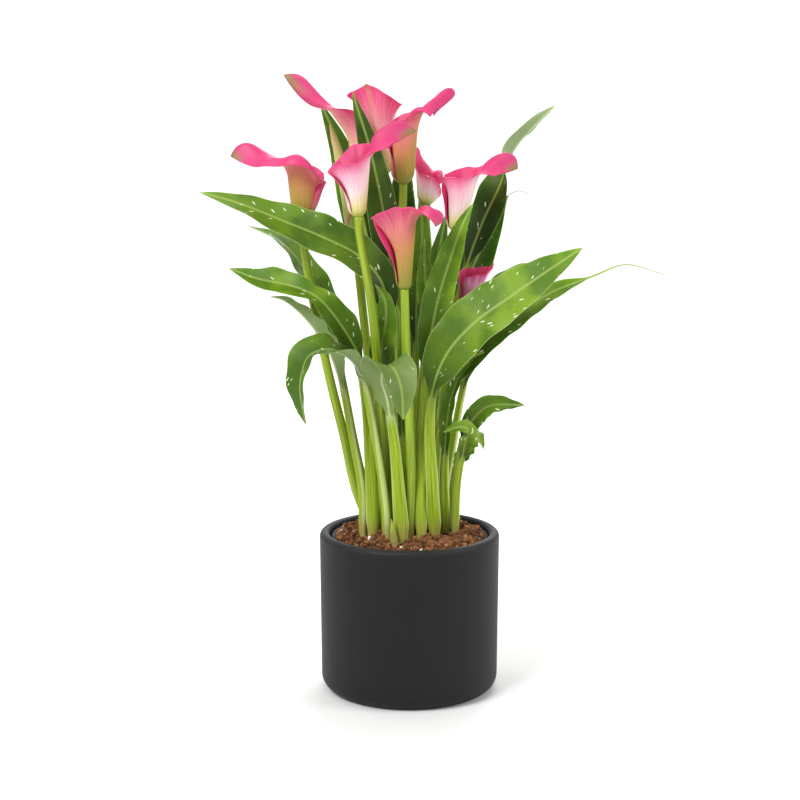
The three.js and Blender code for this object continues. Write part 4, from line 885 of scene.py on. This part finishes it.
def flower_axes(flower):
    """Where a flower sits on its stem, the way that its tip leans, the way square to that, and its axis."""
    up = unit(flower["axis"])
    tip_direction = np.array(flower["tip"], float)
    tip_direction = unit(tip_direction - up * (tip_direction @ up))
    base = np.array(flower["path"][-1]) / 1000 + np.array([0, 0, SOIL_LINE])
    return base, tip_direction, np.cross(up, tip_direction), up


def spathe_surface(flower):
    """The sheet runs from one margin, round the funnel and past where it started, to the other margin,
    which lies outside the first. It is longest at the tip and shortest where the margins lap, and it
    has an outer and an inner face a wall apart, joined along all four edges."""
    tip_length, plus_length, minus_length, lap_length = np.array(flower["lengths"]) / 1000
    step = np.linspace(-1, 1, 141)
    angle = (np.pi + LAP) * (0.45 * step + 0.55 * step**3)
    to_tip, at_lap, sideways = shares_of(angle)
    side_length = (plus_length + minus_length) / 2 + (plus_length - minus_length) / 2 * sideways
    length = by_angle((tip_length, side_length, lap_length), to_tip ** flower["narrow"], at_lap)
    length = length + flower["hook"][0] / 1000 * np.exp(-np.abs(angle) / HOOK_SPREAD)
    past = np.clip((np.abs(angle) - np.pi + 0.35) / (LAP + 0.35), 0, 1)
    length = length * (1 - 0.72 * past**1.6)

    radius, height, lean, along = spathe_profile(flower, angle, length, 401)
    pick = np.linspace(0, 400, 61).astype(int)
    radius, height, lean, along = radius[pick], height[pick], lean[pick], along[pick]
    share = np.linspace(0, 1, 61)[:, None]
    seed = int(flower["name"])
    draw = np.random.default_rng(100 + seed)
    lobes = draw.integers(3, 6)
    ruffle = RUFFLE * smooth_step((share - 0.55) / 0.45) * np.sin(lobes * angle + draw.uniform(0, 6.28))
    ruffle = ruffle + FINE_RUFFLE * smooth_step((share - 0.7) / 0.3) * np.sin(9 * angle + draw.uniform(0, 6.28))
    spiral = LAP_CLEARANCE * angle / np.pi * smooth_step(along / 0.008)
    radius = radius + ruffle * np.cos(lean) + spiral
    height = height - ruffle * np.sin(lean)
    wall = SPATHE_WALL * (1 - 0.45 * share)
    base, tip_direction, across, up = flower_axes(flower)
    around = np.cos(angle)[..., None] * tip_direction + np.sin(angle)[..., None] * across
    outer = base + radius[..., None] * around + height[..., None] * up
    inner_radius, inner_height = radius - wall * np.cos(lean), height + wall * np.sin(lean)
    inner = base + inner_radius[..., None] * around + inner_height[..., None] * up
    rows, columns = radius.shape
    sheet = grid_faces(rows, columns, False)
    number = np.arange(rows * columns).reshape(rows, columns)
    edge = np.concatenate([number[0], number[1:, -1], number[-1, -2::-1], number[-2:0:-1, 0]])
    inner_edge = edge + rows * columns
    hem = np.stack([edge, inner_edge, np.roll(inner_edge, -1), np.roll(edge, -1)], axis=-1)
    points = np.concatenate([outer.reshape(-1, 3), inner.reshape(-1, 3)])
    faces = [np.concatenate([sheet, sheet[:, ::-1] + rows * columns, hem])]
    petal = [at_points(radius.shape, angle / np.pi, share, face) for face in (1.0, 0.0)]
    reach = at_points(radius.shape, along, angle, float(seed))
    return points, faces, np.concatenate(petal), np.concatenate([reach, reach])


def colour_run(tree, value, stops):
    """Colours one after the other along a value that goes from 0 to 1."""
    made = add_node(tree, "ValToRGB", Fac=value)
    band = made.color_ramp
    while len(band.elements) < len(stops):
        band.elements.new(0.5)
    for element, (position, colour) in zip(band.elements, stops):
        element.position = position
        element.color = (*colour, 1.0)
    return made.outputs["Color"]


def spathe_finish(name, outside, inside, streakiness):
    """Petal skin. Outside, the colours run from the tube to the margin, drawn out along fine veins;
    inside they run from the throat to the margin. The margin has a thin deeper line, and an olive keel
    runs up the outside to the hook, which is brown."""
    finish, tree, shader = new_finish(name, Subsurface_Weight=0.30, Subsurface_Scale=0.004, Roughness=0.46,
                                      Subsurface_Radius=(1.0, 0.35, 0.45), Specular_IOR_Level=0.32)
    own, reach = values_at(tree, "petal"), values_at(tree, "reach")
    vein_place = stretched(tree, reach["Y"], reach["X"], reach["Z"], 11.0, 26.0)
    vein = noise(tree, vein_place, 1.0, 4.0, Roughness=0.6)
    fine = noise(tree, stretched(tree, reach["Y"], reach["X"], reach["Z"], 38.0, 30.0), 1.0)
    value = calc(tree, "ADD", own["Y"], times(tree, calc(tree, "SUBTRACT", vein, 0.5), streakiness))
    in_colour = colour_run(tree, value, inside)
    in_colour = blend(tree, ease(tree, vein, 0.46, 0.72), in_colour, inside[2][1], 0.30)
    keel = fade(tree, calc(tree, "ABSOLUTE", own["X"]), 0.008, 0.05)
    out_colour = colour_run(tree, value, outside)
    out_colour = blend(tree, ease(tree, fine, 0.48, 0.66), out_colour, outside[-1][1], 0.50)
    out_colour = blend(tree, keel, out_colour, (0.42, 0.36, 0.06), 0.45)
    skin = blend(tree, own["Z"], in_colour, out_colour)
    skin = blend(tree, ease(tree, own["Y"], 0.955, 1.0), skin, inside[-1][1], 0.75)
    hook = times(tree, keel, ease(tree, own["Y"], 0.91, 0.99))
    join(shader, "Base Color", blend(tree, hook, skin, (0.22, 0.19, 0.05), 0.9))
    emboss(shader, calc(tree, "ADD", times(tree, vein, 0.6), times(tree, fine, 0.4)), 0.25, 0.0006)
    return finish


THROAT = [(0.0, (0.22, 0.12, 0.02)), (0.35, (0.34, 0.018, 0.07)), (0.7, (0.56, 0.024, 0.13)),
          (1.0, (0.66, 0.052, 0.18))]
SPATHE_COLOURS = [
    ("pink", 0.45, [(0.05, (0.36, 0.42, 0.06)), (0.30, (0.72, 0.52, 0.28)), (0.55, (0.84, 0.42, 0.40)),
                    (0.80, (0.80, 0.20, 0.32)), (1.0, (0.72, 0.07, 0.22))]),
    ("copper", 0.65, [(0.05, (0.20, 0.26, 0.015)), (0.26, (0.36, 0.30, 0.03)), (0.48, (0.52, 0.25, 0.08)),
                      (0.76, (0.66, 0.20, 0.19)), (1.0, (0.60, 0.06, 0.17))]),
    ("blush", 0.40, [(0.04, (0.40, 0.48, 0.06)), (0.22, (0.74, 0.70, 0.30)), (0.45, (0.90, 0.72, 0.70)),
                     (0.76, (0.86, 0.44, 0.55)), (1.0, (0.74, 0.08, 0.24))]),
    ("mauve", 0.50, [(0.05, (0.34, 0.30, 0.08)), (0.25, (0.52, 0.14, 0.22)), (0.60, (0.66, 0.20, 0.36)),
                     (0.85, (0.68, 0.28, 0.44)), (1.0, (0.58, 0.07, 0.24))]),
]
SPATHE_LOOKS = {look: spathe_finish("spathe_" + look, outside, THROAT, streakiness)
                for look, streakiness, outside in SPATHE_COLOURS}
for flower in FLOWERS:
    points, faces, petal, reach = spathe_surface(flower)
    name = "spathe_" + flower["name"]
    look = SPATHE_LOOKS[flower["look"]]
    fill_mesh(name + "_grown", points, faces, look, "spathe", [name], petal=petal, reach=reach)

# ---- Spadices ---------------------------------------------------------------------------------------
# The spadix is the fleshy yellow rod in the throat of each flower, covered in hundreds of tiny round
# florets in spiral rows. It grows from the floor of the spathe.
SPADIX_RADIUS = 0.0024
SPADIX_FOOT = 0.0042
pollen, tree, shader = new_finish("spadix_florets", Roughness=0.75, Subsurface_Weight=0.15,
                                  Subsurface_Scale=0.001)
own = values_at(tree, "floret")
# Painted shade: the hollows between the florets are painted a darker orange than their yellow tops.
colour = blend(tree, own["X"], (0.46, 0.22, 0.02), (0.86, 0.58, 0.10))
join(shader, "Base Color", blend(tree, ease(tree, own["Y"], 0.55, 1.0), colour, (0.88, 0.68, 0.22)))

for flower in FLOWERS:
    base, tip_direction, across, up = flower_axes(flower)
    share = np.linspace(0, 1, 90)[:, None]
    turn = np.linspace(0, 2 * np.pi, 40, endpoint=False)[None]
    outline = np.interp(share, [0, 0.3, 0.75, 0.9, 0.97, 1.0], [0.88, 1.0, 0.88, 0.68, 0.40, 0.06])
    floret = np.abs(np.sin(5 * turn + 34 * share) * np.sin(5 * turn - 34 * share))
    radius = SPADIX_RADIUS * outline * (0.90 + 0.13 * floret)
    ring = np.cos(turn)[..., None] * tip_direction + np.sin(turn)[..., None] * across
    height = SPADIX_FOOT + share * (flower["spadix"] / 1000)
    points, faces = capped_tube(base + radius[..., None] * ring + height[..., None] * up)
    value = at_tube_points(radius.shape, floret, share, 0.0)
    name = "spadix_" + flower["name"]
    fill_mesh(name + "_grown", points, faces, pollen, "spadix", [name], floret=value)

# ---- Bud --------------------------------------------------------------------------------------------
# The bud is a spathe that is still rolled tight round its spadix, yellow-green with a pink margin that
# winds round it from the foot to the drawn-out tip.
bud_skin, tree, shader = new_finish("bud_skin", Subsurface_Weight=0.2, Subsurface_Scale=0.003,
                                    Subsurface_Radius=(0.8, 1.0, 0.3), Roughness=0.45)
own = values_at(tree, "petal")
vein = noise(tree, stretched(tree, own["X"], own["Y"], 0.0, 22.0, 3.0), 1.0, 3.0)
value = calc(tree, "MULTIPLY_ADD", vein, 0.3, calc(tree, "SUBTRACT", own["Y"], 0.15))
bud_colours = [(0.0, (0.26, 0.36, 0.04)), (0.5, (0.48, 0.52, 0.14)), (1.0, (0.60, 0.42, 0.22))]
colour = colour_run(tree, value, bud_colours)
join(shader, "Base Color", blend(tree, own["Z"], colour, (0.58, 0.13, 0.16), 0.85))
emboss(shader, vein, 0.25, 0.0005)

line, so_far = line_through(np.array(BUD["bud_path"]) / 1000 + np.array([0, 0, SOIL_LINE]))
share = np.concatenate([np.linspace(0, 0.97, 100), np.linspace(0.973, 1, 10)])
middle, side, up, _ = axes_on(line, so_far, share * so_far[-1], [FRONT, FRONT])
turn = np.linspace(0, 2 * np.pi, 64, endpoint=False)[None]
swell = np.interp(share, [0, 0.06, 0.2, 0.4, 0.6, 0.78, 0.9, 1], [0.48, 0.8, 1, 0.96, 0.8, 0.55, 0.3, 0.05])
share, swell = share[:, None], swell[:, None]
wound = (turn / (2 * np.pi) - 1.15 * share) % 1.0
step_up = 0.10 * wound + 0.05 * np.exp(-(((wound - 0.97) / 0.03) ** 2))
radius = BUD["bud_radius"] / 1000 * swell * (0.90 + step_up)
points, faces = capped_tube(round_rings(middle, side, up, radius, turn))
margin = np.exp(-(((wound - 0.965) / 0.035) ** 2))
petal = at_tube_points(radius.shape, np.cos(turn / 2), share, margin)
fill_mesh("bud_rolled", points, faces, bud_skin, "bud", ["spathe_10"], petal=petal)

# ---- Young shoot ------------------------------------------------------------------------------------
# A new leaf that has just come through, still rolled to a point, between the front stalks. Its skin is
# like the stems', and it stands in the soil as the stalks do.
SHOOT_RADIUS = 0.003
line, so_far = rooted_line((-12, -38), [(-13, -39, 14), (-14, -39, 22)])
along = np.linspace(0, so_far[-1], 60)
middle, side, up, _ = axes_on(line, so_far, along, [FRONT, FRONT])
turn = np.linspace(0, 2 * np.pi, 32, endpoint=False)[None]
wound = (turn / (2 * np.pi) - 0.8 * (along / so_far[-1])[:, None]) % 1.0
outline = np.interp(along, [0, 0.029, 0.037, so_far[-1]], [1, 1, 0.75, 0.06])[:, None]
radius = SHOOT_RADIUS * outline * (0.9 + 0.12 * wound)
points, faces = capped_tube(round_rings(middle, side, up, radius, turn))
measure = at_tube_points(radius.shape, wound * np.pi, along[:, None], 40.0)
fill_mesh("young_shoot_rolled", points, faces, stem_skin, "stalk", ["young_shoot"], measure=measure)
